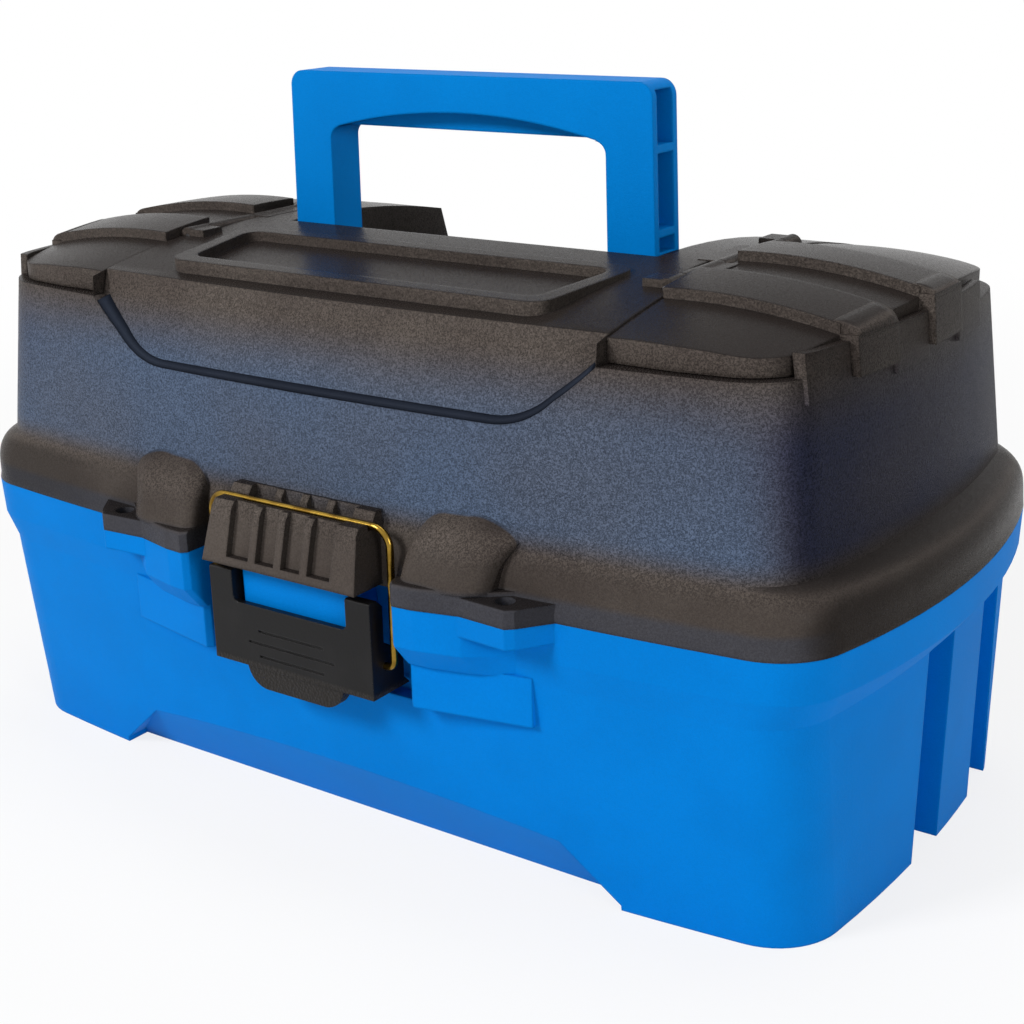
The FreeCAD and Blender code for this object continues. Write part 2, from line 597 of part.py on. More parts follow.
def frame_outline(inset, z_drop, corner):
    """Trapezoid with round corners lying in the tilted plane of the roof frame."""
    run = FRAME_REAR_Y - FRAME_FRONT_Y
    y0, y1 = FRAME_FRONT_Y + inset, FRAME_REAR_Y - inset
    h0, h1 = FRAME_FRONT_HALF - inset, FRAME_REAR_HALF - inset
    face = top_prism([(-h0, y0), (h0, y0), (h1, y1), (-h1, y1)], DECK_Z, CROWN_Z + 20)
    face = round_edges(face, corner, lambda e: along(e, V(0, 0, 1)))
    slope = (FRAME_REAR_Z - FRAME_FRONT_Z) / run
    z_at = [(y, FRAME_FRONT_Z - z_drop + slope * (y - FRAME_FRONT_Y)) for y in (FRAME_FRONT_Y - 9, FRAME_REAR_Y + 9)]
    under = side_prism([z_at[0], z_at[1], (FRAME_REAR_Y + 9, DECK_Z - 5), (FRAME_FRONT_Y - 9, DECK_Z - 5)],
                       -FRAME_REAR_HALF - 5, FRAME_REAR_HALF + 5)
    return face.common(under)


def well(inset):
    """Recess behind the frame that takes the folded handle; it runs out over the rear wall."""
    half = HANDLE_HALF_FOOT + WELL_GAP + inset
    y0 = HANDLE_FRONT_Y - WELL_GAP - inset
    z0 = HANDLE_AXIS_Z - HANDLE_THICKNESS / 2 - 0.8 - inset
    rear = RIM_HALF_DEPTH + 5
    return side_prism([(y0, z0), (WELL_FLAT, z0), (rear, z0 - WELL_REAR_DROP), (rear, CROWN_Z + 5),
                       (y0, CROWN_Z + 5)], -half, half)


def bin_pocket(inset):
    """Space of the right-hand bin, grown by inset."""
    x0 = DOOR_INNER_X + BIN_RIM - inset
    body = loft([lid_section(LID_WALL + BIN_RIM - inset, BIN_FLOOR_Z - inset),
                 lid_section(LID_WALL + BIN_RIM - inset, DECK_Z + 10)])
    depth = ROOF_HALF_DEPTH - BIN_RIM + inset
    return body.common(box(x0, RIM_HALF_LENGTH, -depth, depth, BIN_FLOOR_Z - inset, DECK_Z + 10))


def door_knuckle(y0, y1):
    start, end = V(DOOR_AXIS_X, y0, DOOR_AXIS_Z), V(DOOR_AXIS_X, y1, DOOR_AXIS_Z)
    return cylinder(DOOR_KNUCKLE / 2, start, end)


def roof_knuckle(y0, y1):
    r = DOOR_KNUCKLE / 2
    root = box(DOOR_AXIS_X - 9, DOOR_AXIS_X, y0, y1, DOOR_AXIS_Z - r, DOOR_AXIS_Z + r - 0.6)
    return door_knuckle(y0, y1).fuse(root)


def hinge_rail():
    """Solid strip under the roof's end that carries the door knuckles."""
    return box(DOOR_AXIS_X - 9, RIM_HALF_LENGTH, KNUCKLE_CUTS[0] - 2, KNUCKLE_CUTS[-1] + 2,
               DOOR_AXIS_Z - DOOR_KNUCKLE - 1, CROWN_Z + 5)


def knuckle_nose(y0, y1):
    """What comes off the rail's edge so that its own knuckles are round."""
    own = RUN_CLEARANCE
    r = DOOR_KNUCKLE / 2
    corner = box(DOOR_AXIS_X, DOOR_INNER_X + 2, y0 - own, y1 + own, DOOR_AXIS_Z, CROWN_Z + 5)
    return corner.cut(cylinder(r, V(DOOR_AXIS_X, y0 - own, DOOR_AXIS_Z), V(DOOR_AXIS_X, y1 + own, DOOR_AXIS_Z)))


def knuckle_room(y0, y1):
    """Notch in the hinge rail for one door knuckle and its root."""
    own = RUN_CLEARANCE
    r = DOOR_KNUCKLE / 2 + own
    return box(DOOR_AXIS_X - r, DOOR_INNER_X + 2, y0 - own, y1 + own, DOOR_AXIS_Z - r, CROWN_Z + 5)


def latch_sill():
    """Strip across the lid's mouth over the tub's set-back wall behind the latch."""
    half = LATCH_HALF_GAP - RUN_CLEARANCE
    z0 = PARTING_Z + RUN_CLEARANCE
    return box(-half, half, -RIM_HALF_DEPTH + 1.0, LATCH_POCKET_TOP_Y + TUB_WALL, z0, z0 + 2.0)


def knuckle_spans(carrier):
    own = RUN_CLEARANCE / 2
    cuts = KNUCKLE_CUTS
    pairs = [(cuts[i] + own, cuts[i + 1] - own) for i in range(len(cuts) - 1)]
    return pairs[0::2] if carrier == "roof" else pairs[1::2]


def end_post(y0, y1):
    """Snap post on the lid's end wall beside a door tab."""
    wall = loft([lid_section(-POST_DEPTH, POST_BASE_Z - 10), lid_section(-POST_DEPTH, CROWN_Z)])
    wall = wall.cut(loft([lid_section(2.0, POST_BASE_Z - 11), lid_section(2.0, CROWN_Z + 1)]))
    return wall.common(box(DOOR_INNER_X + 20, RIM_HALF_LENGTH + 9, y0, y1, POST_BASE_Z, POST_TOP_Z))


def lid_arm_post():
    """Rib in the lid's rear corner that the lid arm is screwed to."""
    low, high = ARM_SCREWS
    margin = ARM_WIDTH / 2
    return box(ARM_INNER_X + ARM_THICKNESS, RIM_HALF_LENGTH, low[0] - margin, high[0] + margin,
               low[1] - margin, high[1] + margin)


def make_lid():
    outer = lid_outer().common(crown_body(0, RIM_HALF_LENGTH + 1))
    outer = outer.cut(end_region(DOOR_INNER_X - DOOR_GAP, DECK_Z))
    keep = front_slope(0)
    panel = panel_outline(-RIM_HALF_DEPTH - 5, 0)
    shaved = panel.cut(keep)
    outer = outer.cut([shaved, mirrored(shaved, V(0, 1, 0))])

    inner = lid_inner()
    middle = inner.common(crown_body(LID_WALL, DOOR_INNER_X - DOOR_GAP - LID_WALL))
    middle = middle.common(front_slope(LID_WALL))
    low = inner.common(box(-RIM_HALF_LENGTH, RIM_HALF_LENGTH, -RIM_HALF_DEPTH, RIM_HALF_DEPTH,
                           PARTING_Z - 1, PANEL_Z - 8))
    ends = inner.common(box(-RIM_HALF_LENGTH, RIM_HALF_LENGTH, -RIM_HALF_DEPTH, RIM_HALF_DEPTH,
                            PANEL_Z - 9, DECK_Z - LID_WALL))
    ends = ends.cut(box(-DOOR_INNER_X, DOOR_INNER_X, -RIM_HALF_DEPTH, RIM_HALF_DEPTH, PANEL_Z - 10, DECK_Z))
    frame = frame_outline(0, 0, FRAME_CORNER)
    frame_floor = FRAME_DEPTH + LID_WALL
    keep_solid = [frame.cut(frame_outline(-1, frame_floor, FRAME_CORNER)), well(LID_WALL), bin_pocket(BIN_WALL),
                  mirrored(bin_pocket(BIN_WALL))]
    keep_solid += both_sides(lid_arm_post()) + both_sides(hinge_rail())
    hollow = middle.fuse([low, ends]).cut(keep_solid)
    lid = outer.cut(hollow)
    lid = lid.fuse([frame.cut(frame_outline(-2, frame_floor, FRAME_CORNER))])
    cuts = [frame_outline(FRAME_RAIL, FRAME_DEPTH - 20, FRAME_CORNER - 3).cut(
                frame_outline(-1, FRAME_DEPTH, FRAME_CORNER)),
            well(0), bin_pocket(0), mirrored(bin_pocket(0))]
    lid = lid.cut(cuts)

    additions = [catch()] + both_sides(horn()) + both_sides(padlock_lug())
    for span in hinge_lugs("lid"):
        r = HINGE_BARREL / 2
        seat = PARTING_Z + RUN_CLEARANCE
        web = side_prism([(RIM_HALF_DEPTH - 6, seat + 9), (RIM_HALF_DEPTH - 6, seat), (RIM_HALF_DEPTH - 1.2, seat),
                          (HINGE_Y - r + 0.6, HINGE_Z - 1), (HINGE_Y + r, HINGE_Z + 0.5),
                          (HINGE_Y + r, HINGE_Z + 6)], *span)
        additions.append(cylinder(r, V(span[0], HINGE_Y, HINGE_Z), V(span[1], HINGE_Y, HINGE_Z)).fuse(web))
    for span in knuckle_spans("roof"):
        additions += both_sides(roof_knuckle(*span))
    for span in POST_SPANS:
        additions += both_sides(end_post(*span))
    inside = lid_inner().common(box(-RIM_HALF_LENGTH, RIM_HALF_LENGTH, -RIM_HALF_DEPTH, RIM_HALF_DEPTH,
                                    PARTING_Z - 1, PANEL_Z - 8))
    lid = lid.fuse([piece.cut(inside) for piece in additions] + [latch_sill()])

    holes = [padlock_hole(side, PARTING_Z - 1, SHOULDER_Z - 4) for side in (1, -1)]
    holes += [hinge_pin(centre, PIN_CLEARANCE) for centre in HINGE_XS]
    for span in knuckle_spans("door"):
        holes += both_sides(knuckle_room(*span))
    for span in knuckle_spans("roof"):
        holes += both_sides(knuckle_nose(*span))
    holes += both_sides(door_pin(0.0))
    holes += [handle_pin(side, 0.0) for side in (1, -1)]
    holes += [arm_screw(side, point, 0.0) for side in (1, -1) for point in ARM_SCREWS]
    return lid.cut(holes).removeSplitter()


# ---------------------------------------------------------------- hinge pins
def hinge_pin(centre, grow):
    half = HINGE_LUG * HINGE_LUGS / 2
    return cylinder(HINGE_PIN / 2 + grow, V(centre - half, HINGE_Y, HINGE_Z), V(centre + half, HINGE_Y, HINGE_Z))


def door_pin(grow):
    half = DOOR_PIN_HALF - RUN_CLEARANCE / 2
    return cylinder(DOOR_PIN / 2 + grow, V(DOOR_AXIS_X, -half, DOOR_AXIS_Z), V(DOOR_AXIS_X, half, DOOR_AXIS_Z))


def handle_pin(side, grow):
    inner = HANDLE_HALF_FOOT - HANDLE_LEG - 4
    outer = HANDLE_HALF_FOOT + WELL_GAP + LID_WALL
    y = HANDLE_FRONT_Y + HANDLE_THICKNESS / 2
    return cylinder(HANDLE_PIN / 2 + grow, V(side * inner, y, HANDLE_AXIS_Z), V(side * outer, y, HANDLE_AXIS_Z))


def make_handle_pins():
    """The two handle pins, each with a head against the inside of its leg."""
    y = HANDLE_FRONT_Y + HANDLE_THICKNESS / 2
    inner = HANDLE_HALF_FOOT - HANDLE_LEG
    pins = []
    for side in (1, -1):
        start = V(side * (inner - 4), y, HANDLE_AXIS_Z)
        end = V(side * (inner - RUN_CLEARANCE), y, HANDLE_AXIS_Z)
        pins.append(handle_pin(side, 0.0).fuse(cylinder(HANDLE_PIN / 2 + 2, start, end)))
    return Part.makeCompound(pins)


# ---------------------------------------------------------------- bin doors
def door_top(rise, drop=0.0):
    """Body under the door's top: an arched X profile turned about the crown's own centre line."""
    x0, x1 = DOOR_INNER_X, RIM_HALF_LENGTH - 14
    top = CROWN_Z - 0.4 + rise - drop
    base = DECK_Z - 20
    middle = V(x0 + 0.52 * (x1 - x0), 0, top - 0.16 * DOOR_EDGE_DROP)
    profile = [arc(V(x0, 0, top), middle, V(x1, 0, top - DOOR_EDGE_DROP))]
    profile += Part.makePolygon([V(x1, 0, top - DOOR_EDGE_DROP), V(x1, 0, base), V(x0, 0, base), V(x0, 0, top)]).Edges
    face = Part.Face(Part.Wire(profile))
    centre = V(0, 0, CROWN_Z - CROWN_RADIUS)
    swing = 15.0
    face.rotate(centre, V(1, 0, 0), -swing)
    body = face.revolve(centre, V(1, 0, 0), 2 * swing)
    return body.common(box(x0, x1, -RIM_HALF_DEPTH, RIM_HALF_DEPTH, DECK_Z + DOOR_GAP, CROWN_Z + 20))


def door_plan(inset):
    """Plan of the right door: the lid's end, set back by the ledge."""
    z0, z1 = DOOR_SPRING_Z - 6, CROWN_Z + 20
    half = ROOF_HALF_DEPTH - inset
    outline = lid_section(DOOR_LEDGE + inset, DECK_Z)
    shape = loft([outline.translated(V(0, 0, z - DECK_Z)) for z in (z0, z1)])
    return shape.common(box(DOOR_INNER_X + inset, RIM_HALF_LENGTH, -half, half, z0, z1))


def make_door():
    body = door_top(0.0).common(door_plan(0))
    hollow = door_top(0.0, DOOR_WALL).common(door_plan(DOOR_WALL))
    body = body.cut(hollow)
    for start in BAND_STARTS:
        end = start + BAND_WIDTH
        slab = box(DOOR_INNER_X, RIM_HALF_LENGTH, start, end, DECK_Z + DOOR_WALL, CROWN_Z + 20)
        band = door_top(BAND_RISE).cut(door_top(0.0, DOOR_WALL)).common(slab).common(door_plan(0))
        skirt = loft([lid_section(-TAB_THICKNESS - DOOR_GAP, DOOR_SPRING_Z),
                      lid_section(-TAB_THICKNESS - DOOR_GAP, CROWN_Z)])
        skirt = skirt.cut(loft([lid_section(-DOOR_GAP, DOOR_SPRING_Z - 1), lid_section(-DOOR_GAP, CROWN_Z + 1)]))
        over = loft([lid_section(-TAB_THICKNESS - DOOR_GAP, DECK_Z + DOOR_GAP),
                     lid_section(-TAB_THICKNESS - DOOR_GAP, CROWN_Z)]).cut(door_plan(DOOR_WALL))
        reach = door_top(BAND_RISE).BoundBox.XMax
        tab_top = crown(start) - 0.4 + BAND_RISE - DOOR_EDGE_DROP
        edge = box(reach - 30, RIM_HALF_LENGTH, start, end, DOOR_SPRING_Z, tab_top)
        tab = skirt.fuse(over).common(edge)
        body = body.fuse([band, tab])
    for span in knuckle_spans("door"):
        root = box(DOOR_AXIS_X, DOOR_INNER_X + 4, span[0], span[1], DOOR_AXIS_Z - 1.5, DOOR_AXIS_Z + 3.0)
        body = body.fuse([door_knuckle(*span), root])
    for span in knuckle_spans("roof"):
        y0, y1 = span[0] - RUN_CLEARANCE, span[1] + RUN_CLEARANCE
        r = DOOR_KNUCKLE / 2 + RUN_CLEARANCE
        body = body.cut(cylinder(r, V(DOOR_AXIS_X, y0, DOOR_AXIS_Z), V(DOOR_AXIS_X, y1, DOOR_AXIS_Z)))
    return body.cut(door_pin(PIN_CLEARANCE))


# ---------------------------------------------------------------- handle
def make_handle():
    y0 = HANDLE_FRONT_Y
    y1 = y0 + HANDLE_THICKNESS
    foot_r = HANDLE_THICKNESS / 2
    foot = HANDLE_AXIS_Z - foot_r
    ht, hf = HANDLE_HALF_TOP, HANDLE_HALF_FOOT
    inner = hf - HANDLE_LEG
    under = HANDLE_TOP_Z - HANDLE_GRIP
    body = front_prism([(-hf, foot), (-ht, HANDLE_TOP_Z), (ht, HANDLE_TOP_Z), (hf, foot)], y0, y1)
    body = round_edges(body, 6.0, lambda e: along(e, V(0, 1, 0)) and e.BoundBox.ZMin > HANDLE_TOP_Z - 1)
    hole = front_prism([(-inner, foot - 1), (-inner + 0.8, under), (inner - 0.8, under), (inner, foot - 1)],
                       y0 - 1, y1 + 1)
    hole = round_edges(hole, 5.0, lambda e: along(e, V(0, 1, 0)) and e.BoundBox.ZMin > under - 1)
    body = body.cut(hole)
    reach = inner - 4
    lens = arc(V(-reach, y0 - 1, under - 0.01), V(0, y0 - 1, under + HANDLE_ARCH), V(reach, y0 - 1, under - 0.01))
    lens = Part.Face(Part.Wire([lens, Part.makeLine(V(reach, y0 - 1, under - 0.01), V(-reach, y0 - 1, under - 0.01))]))
    body = body.cut(lens.extrude(V(0, HANDLE_THICKNESS * 0.45 + 1, 0)))
    wall = HANDLE_WALL
    for side in (1, -1):
        well_x = side * (inner + wall)
        x0, x1 = sorted((well_x, side * (hf + 2)))
        zs = [HANDLE_AXIS_Z + foot_r + 1] + sorted(HANDLE_RIB_ZS) + [HANDLE_TOP_Z - wall]
        for i in range(len(zs) - 1):
            low = zs[i] + (wall / 2 if i else 0)
            high = zs[i + 1] - (wall / 2 if i < len(zs) - 2 else 0)
            body = body.cut(box(x0, x1, y0 + wall, y1 - wall, low, high))
        round_foot = cylinder(foot_r, V(x0, y0 + foot_r, HANDLE_AXIS_Z), V(x1, y0 + foot_r, HANDLE_AXIS_Z))
        base = box(x0 - 9, x1 + 9, y0 - 1, y1 + 1, foot - 2, HANDLE_AXIS_Z)
        wide = cylinder(foot_r, V(x0 - 9, y0 + foot_r, HANDLE_AXIS_Z), V(x1 + 9, y0 + foot_r, HANDLE_AXIS_Z))
        body = body.cut(base.cut(wide.fuse(round_foot)))
        body = body.cut(handle_pin(side, PIN_CLEARANCE))
    return body.removeSplitter()


# ---------------------------------------------------------------- latch
def make_bail():
    """Wire loop: top bar in the catch, legs down to the lever's hubs."""
    r = BAIL_BEND
    half, y = BAIL_HALF, BAIL_Y
    top, foot = BAIL_Z, BAIL_FOOT_Z
    end = LEVER_HALF - LEVER_CHEEK + 0.4
    k = r * (1 - math.sqrt(0.5))
    small = 3.2
    ks = small * (1 - math.sqrt(0.5))
    slope = BAIL_SLANT / (top - foot)

    def p(x, z):
        return V(x, y - slope * (top - z), z)

    points = [p(-end, foot), p(-half + small, foot), p(-half, foot + small), p(-half, top - r), p(-half + r, top),
              p(half - r, top), p(half, top - r), p(half, foot + small), p(half - small, foot), p(end, foot)]
    edges = [Part.makeLine(points[0], points[1]),
             arc(points[1], p(-half + ks, foot + ks), points[2]),
             Part.makeLine(points[2], points[3]),
             arc(points[3], p(-half + k, top - k), points[4]),
             Part.makeLine(points[4], points[5]),
             arc(points[5], p(half - k, top - k), points[6]),
             Part.makeLine(points[6], points[7]),
             arc(points[7], p(half - ks, foot + ks), points[8]),
             Part.makeLine(points[8], points[9])]
    path = Part.Wire(edges)
    circle = Part.Wire(Part.makeCircle(WIRE / 2, points[0], V(1, 0, 0)))
    return path.makePipeShell([circle], True, True)


def make_lever():
    """U-shaped lever: two legs over a front plate, cheeks with the bail's holes, finger tongue."""
    y0, y1 = LEVER_FRONT_Y, LEVER_BACK_Y
    half = LEVER_HALF
    face = box(-half, half, y0, y0 + LEVER_PLATE, LEVER_BOTTOM_Z, LEVER_TOP_Z)
    window = box(-half + LEVER_LEG, half - LEVER_LEG, y0 - 1, y0 + LEVER_PLATE + 1, LEVER_SILL_Z, LEVER_TOP_Z + 1)
    window = round_edges(window, 2.5, lambda e: along(e, V(0, 1, 0)) and e.BoundBox.ZMax < LEVER_SILL_Z + 1)
    body = face.cut(window)
    cheek_profile = [(y0, LEVER_BOTTOM_Z), (y1 + 3, LEVER_BOTTOM_Z), (y1, LEVER_BOTTOM_Z + 3),
                     (y1, LEVER_BOTTOM_Z + 10), (y1 - 4, LEVER_BOTTOM_Z + 16), (y0 + 7, LEVER_BOTTOM_Z + 20),
                     (y0 + 7, LEVER_TOP_Z - 3), (y0 + 4, LEVER_TOP_Z), (y0, LEVER_TOP_Z)]
    for side in (1, -1):
        x0, x1 = sorted((side * half, side * (half - LEVER_CHEEK)))
        body = body.fuse(side_prism(cheek_profile, x0, x1))
        x0, x1 = sorted((side * (half - LEVER_LEG), side * (half - LEVER_LEG + 2)))
        rib = side_prism([(y0, LEVER_BOTTOM_Z), (y0 + 7, LEVER_BOTTOM_Z), (y0 + 7, LEVER_TOP_Z - 3),
                          (y0 + 4, LEVER_TOP_Z), (y0, LEVER_TOP_Z)], x0, x1)
        body = body.fuse(rib)
        knob = side_prism([(y0, LEVER_TOP_Z - 8), (y0 + 7, LEVER_TOP_Z - 8), (y0 + 7, LEVER_TOP_Z - 3),
                           (y0 + 4, LEVER_TOP_Z), (y0, LEVER_TOP_Z)],
                          *sorted((side * (half - LEVER_LEG), side * half)))
        body = body.fuse(knob)
    body = round_edges(body, 1.0, lambda e: along(e, V(1, 0, 0)) and e.BoundBox.ZMin > LEVER_TOP_Z - 0.1
                       and e.BoundBox.YMax < y0 + 0.1)
    top, low = LEVER_BOTTOM_Z + 4, LEVER_BOTTOM_Z - TONGUE_DROP
    tongue = front_prism([(-TONGUE_HALF, top), (-TONGUE_HALF + 1.5, low), (TONGUE_HALF - 1.5, low), (TONGUE_HALF, top)],
                         y0 + 1.0, y0 + 5.4)
    tongue = round_edges(tongue, TONGUE_DROP + 1, lambda e: along(e, V(0, 1, 0)) and e.BoundBox.ZMax < low + 1)
    body = body.fuse(tongue)
    for i in range(3):
        z = LEVER_SILL_Z - 9.6 - 5.0 * i
        reach = 20.5 if i == 1 else 15.5
        body = body.cut(box(-reach, reach, y0 - 1, y0 + 0.7, z - 0.5, z + 0.5))
    for side in (1, -1):
        x0, x1 = side * (half - LEVER_CHEEK - 1), side * (half + 1)
        body = body.cut(cylinder(WIRE / 2 + PIN_CLEARANCE, V(x0, BAIL_FOOT_Y, BAIL_FOOT_Z), V(x1, BAIL_FOOT_Y, BAIL_FOOT_Z)))
    return body.removeSplitter()


# ---------------------------------------------------------------- trays and arms
def link_point(length, spacing=0.0):
    """(y, z) of a tray pin on the rear link (spacing 0) or the front link."""
    return (HINGE_Y - spacing - length * math.cos(LINK_REST), HINGE_Z + length * math.sin(LINK_REST))


BASE_PIVOT = (HINGE_Y - LINK_SPACING, HINGE_Z)
ARM_KNEE = link_point(ARM_KNEE_RADIUS)
UPPER_TRAY_Z = LOWER_TRAY_Z + LOWER_TRAY_HEIGHT + UPPER_TRAY_GAP
TRAY_PINS = {"lower": (link_point(LOWER_LINK), link_point(LOWER_LINK, LINK_SPACING)),
             "upper": (link_point(UPPER_LINK), link_point(UPPER_LINK, LINK_SPACING))}


def pivot_boss():
    """Rib inside the tub's end that carries the base arm's rivet."""
    x0 = ARM_INNER_X + ARM_THICKNESS + RUN_CLEARANCE
    y, z = BASE_PIVOT
    post = box(x0, RIM_HALF_LENGTH, y - 7, y + 7, NECK_Z - 30, z)
    return post.fuse(cylinder(7, V(x0, y, z), V(RIM_HALF_LENGTH - 4, y, z)))


def rivet(side, point, x0, x1, head_in=True, grow=0.0):
    """Rivet along X from x0 to x1 with a round head at its inner or outer end."""
    r = RIVET / 2 + grow
    shank = cylinder(r, V(side * x0, *point), V(side * x1, *point))
    if grow:
        return shank
    at = x0 if head_in else x1
    reach = at - RIVET_HEAD_THICKNESS if head_in else at + RIVET_HEAD_THICKNESS
    head = cylinder(RIVET_HEAD / 2, V(side * at, *point), V(side * reach, *point))
    return shank.fuse(head)


def base_rivet(side, grow):
    return rivet(side, BASE_PIVOT, ARM_INNER_X - 0.1, ARM_INNER_X + ARM_THICKNESS + 8, True, grow)


def arm_screw(side, point, grow):
    return rivet(side, point, ARM_INNER_X, ARM_INNER_X + ARM_THICKNESS + 7, True, grow)


def tray_rivet(side, point):
    return rivet(side, point, TRAY_HALF_LENGTH - TRAY_WALL - 0.2, ARM_INNER_X + ARM_THICKNESS + 0.1, False)


def make_tray(level):
    z0 = LOWER_TRAY_Z if level == "lower" else UPPER_TRAY_Z
    height = LOWER_TRAY_HEIGHT if level == "lower" else UPPER_TRAY_HEIGHT
    w = TRAY_WALL
    half = TRAY_HALF_LENGTH
    body = box(-half, half, TRAY_FRONT_Y, TRAY_BACK_Y, z0, z0 + height)
    body = round_edges(body, TRAY_CORNER, lambda e: along(e, V(0, 0, 1)))
    depth = TRAY_BACK_Y - TRAY_FRONT_Y
    cell_counts = TRAY_CELLS[level]
    rows = len(cell_counts)
    row_depth = (depth - w * (rows + 1)) / rows
    pockets = []
    for row in range(rows):
        y = TRAY_FRONT_Y + w + row * (row_depth + w)
        cells = cell_counts[row]
        length = (2 * half - w * (cells + 1)) / cells
        for i in range(cells):
            x = -half + w + i * (length + w)
            pocket = box(x, x + length, y, y + row_depth, z0 + w, z0 + height + 1)
            pockets.append(pocket)
    room = box(-half + w, half - w, TRAY_FRONT_Y + w, TRAY_BACK_Y - w, z0, z0 + height + 2)
    room = round_edges(room, TRAY_CORNER - w, lambda e: along(e, V(0, 0, 1)))
    body = body.cut([pocket.common(room) for pocket in pockets])
    grooves = []
    back_row = TRAY_BACK_Y - w - row_depth
    for x in divider_places():
        for y in (back_row - TRAY_SLOT_DEPTH, TRAY_BACK_Y - w):
            grooves.append(box(x - DIVIDER / 2 - 0.2, x + DIVIDER / 2 + 0.2, y, y + TRAY_SLOT_DEPTH,
                               z0 + w, z0 + height + 1))
    body = body.cut(grooves)
    boss_x = ARM_INNER_X - RUN_CLEARANCE
    boss_r = RIVET_HEAD / 2 + 0.4
    for side in (1, -1):
        for point in TRAY_PINS[level]:
            boss = cylinder(boss_r, V(side * (half - w), *point), V(side * boss_x, *point))
            x0, x1 = sorted((side * (half - w), side * half))
            y0 = min(point[0] - boss_r, TRAY_BACK_Y - TRAY_CORNER - 8)
            ear = box(x0, x1, y0, point[0], point[1] - boss_r, z0 + height)
            body = body.fuse([boss, ear])
            body = body.cut(tray_rivet(side, point))
    return body.removeSplitter()


def divider_places():
    pitch = 2 * TRAY_HALF_LENGTH / 8
    return [-TRAY_HALF_LENGTH + pitch * i for i in range(1, 8)]


def make_dividers(level):
    z0 = LOWER_TRAY_Z if level == "lower" else UPPER_TRAY_Z
    height = LOWER_TRAY_HEIGHT if level == "lower" else UPPER_TRAY_HEIGHT
    w = TRAY_WALL
    rows = len(TRAY_CELLS[level])
    row_depth = (TRAY_BACK_Y - TRAY_FRONT_Y - w * (rows + 1)) / rows
    y0 = TRAY_BACK_Y - w - row_depth
    slack = TRAY_SLOT_DEPTH - 0.2
    places = divider_places()[3:4] if level == "lower" else divider_places()[1::2]
    plates = [box(x - DIVIDER / 2, x + DIVIDER / 2, y0 - slack, y0 + row_depth + slack, z0 + w, z0 + height - 1)
              for x in places]
    return Part.makeCompound(plates)


def make_lid_arm(side):
    x0, x1 = ARM_INNER_X, ARM_INNER_X + ARM_THICKNESS
    arm = rounded_bar(link_point(UPPER_LINK), ARM_KNEE, ARM_WIDTH, x0, x1)
    arm = arm.fuse(rounded_bar(ARM_KNEE, ARM_SCREWS[1], ARM_WIDTH, x0, x1))
    for point in TRAY_PINS_REAR:
        arm = arm.cut(cylinder(RIVET / 2 + PIN_CLEARANCE, V(x0 - 1, *point), V(x1 + 1, *point)))
    for point in ARM_SCREWS:
        arm = arm.cut(cylinder(RIVET / 2, V(x0 - 1, *point), V(x1 + 1, *point)))
    arm = arm.removeSplitter()
    return arm if side > 0 else mirrored(arm)


TRAY_PINS_REAR = (TRAY_PINS["lower"][0], TRAY_PINS["upper"][0])
TRAY_PINS_FRONT = (TRAY_PINS["lower"][1], TRAY_PINS["upper"][1])


def make_base_arm(side):
    x0, x1 = ARM_INNER_X, ARM_INNER_X + ARM_THICKNESS
    arm = rounded_bar(TRAY_PINS["upper"][1], BASE_PIVOT, ARM_WIDTH, x0, x1)
    for point in TRAY_PINS_FRONT + (BASE_PIVOT,):
        arm = arm.cut(cylinder(RIVET / 2 + PIN_CLEARANCE, V(x0 - 1, *point), V(x1 + 1, *point)))
    return arm if side > 0 else mirrored(arm)


# ---------------------------------------------------------------- write the parts
def build():
    door = make_door()
    return {
        "tub": make_tub(),
        "lid": make_lid(),
        "right_bin_door": door,
        "left_bin_door": mirrored(door),
        "right_door_pin": door_pin(0.0),
        "left_door_pin": mirrored(door_pin(0.0)),
        "handle": make_handle(),
        "handle_pivot_pins": make_handle_pins(),
        "latch_bail": make_bail(),
        "latch_lever": make_lever(),
        "lid_hinge_pins": Part.makeCompound([hinge_pin(centre, 0.0) for centre in HINGE_XS]),
        "lower_tray": make_tray("lower"),
        "upper_tray": make_tray("upper"),
        "lower_tray_dividers": make_dividers("lower"),
        "upper_tray_dividers": make_dividers("upper"),
        "right_lid_arm": make_lid_arm(1),
        "left_lid_arm": make_lid_arm(-1),
        "right_base_arm": make_base_arm(1),
        "left_base_arm": make_base_arm(-1),
        "base_rivets": Part.makeCompound([base_rivet(side, 0.0) for side in (1, -1)]),
        "lid_arm_screws": Part.makeCompound([arm_screw(s, p, 0.0) for s in (1, -1) for p in ARM_SCREWS]),
        "lower_tray_rivets": Part.makeCompound([tray_rivet(s, p) for s in (1, -1) for p in TRAY_PINS["lower"]]),
        "upper_tray_rivets": Part.makeCompound([tray_rivet(s, p) for s in (1, -1) for p in TRAY_PINS["upper"]]),
    }


os.makedirs("parts", exist_ok=True)
for name, shape in build().items():
    shape.exportStep(f"parts/{name}.step")
    print(name, len(shape.Solids), "solids", round(shape.Volume / 1000, 1), "cm3", shape.isValid())
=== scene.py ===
"""Looks for the two-tray tackle box: finishes, fitted pieces, floor, light and camera."""
import math

import bmesh
import bpy
from mathutils import Matrix, Vector


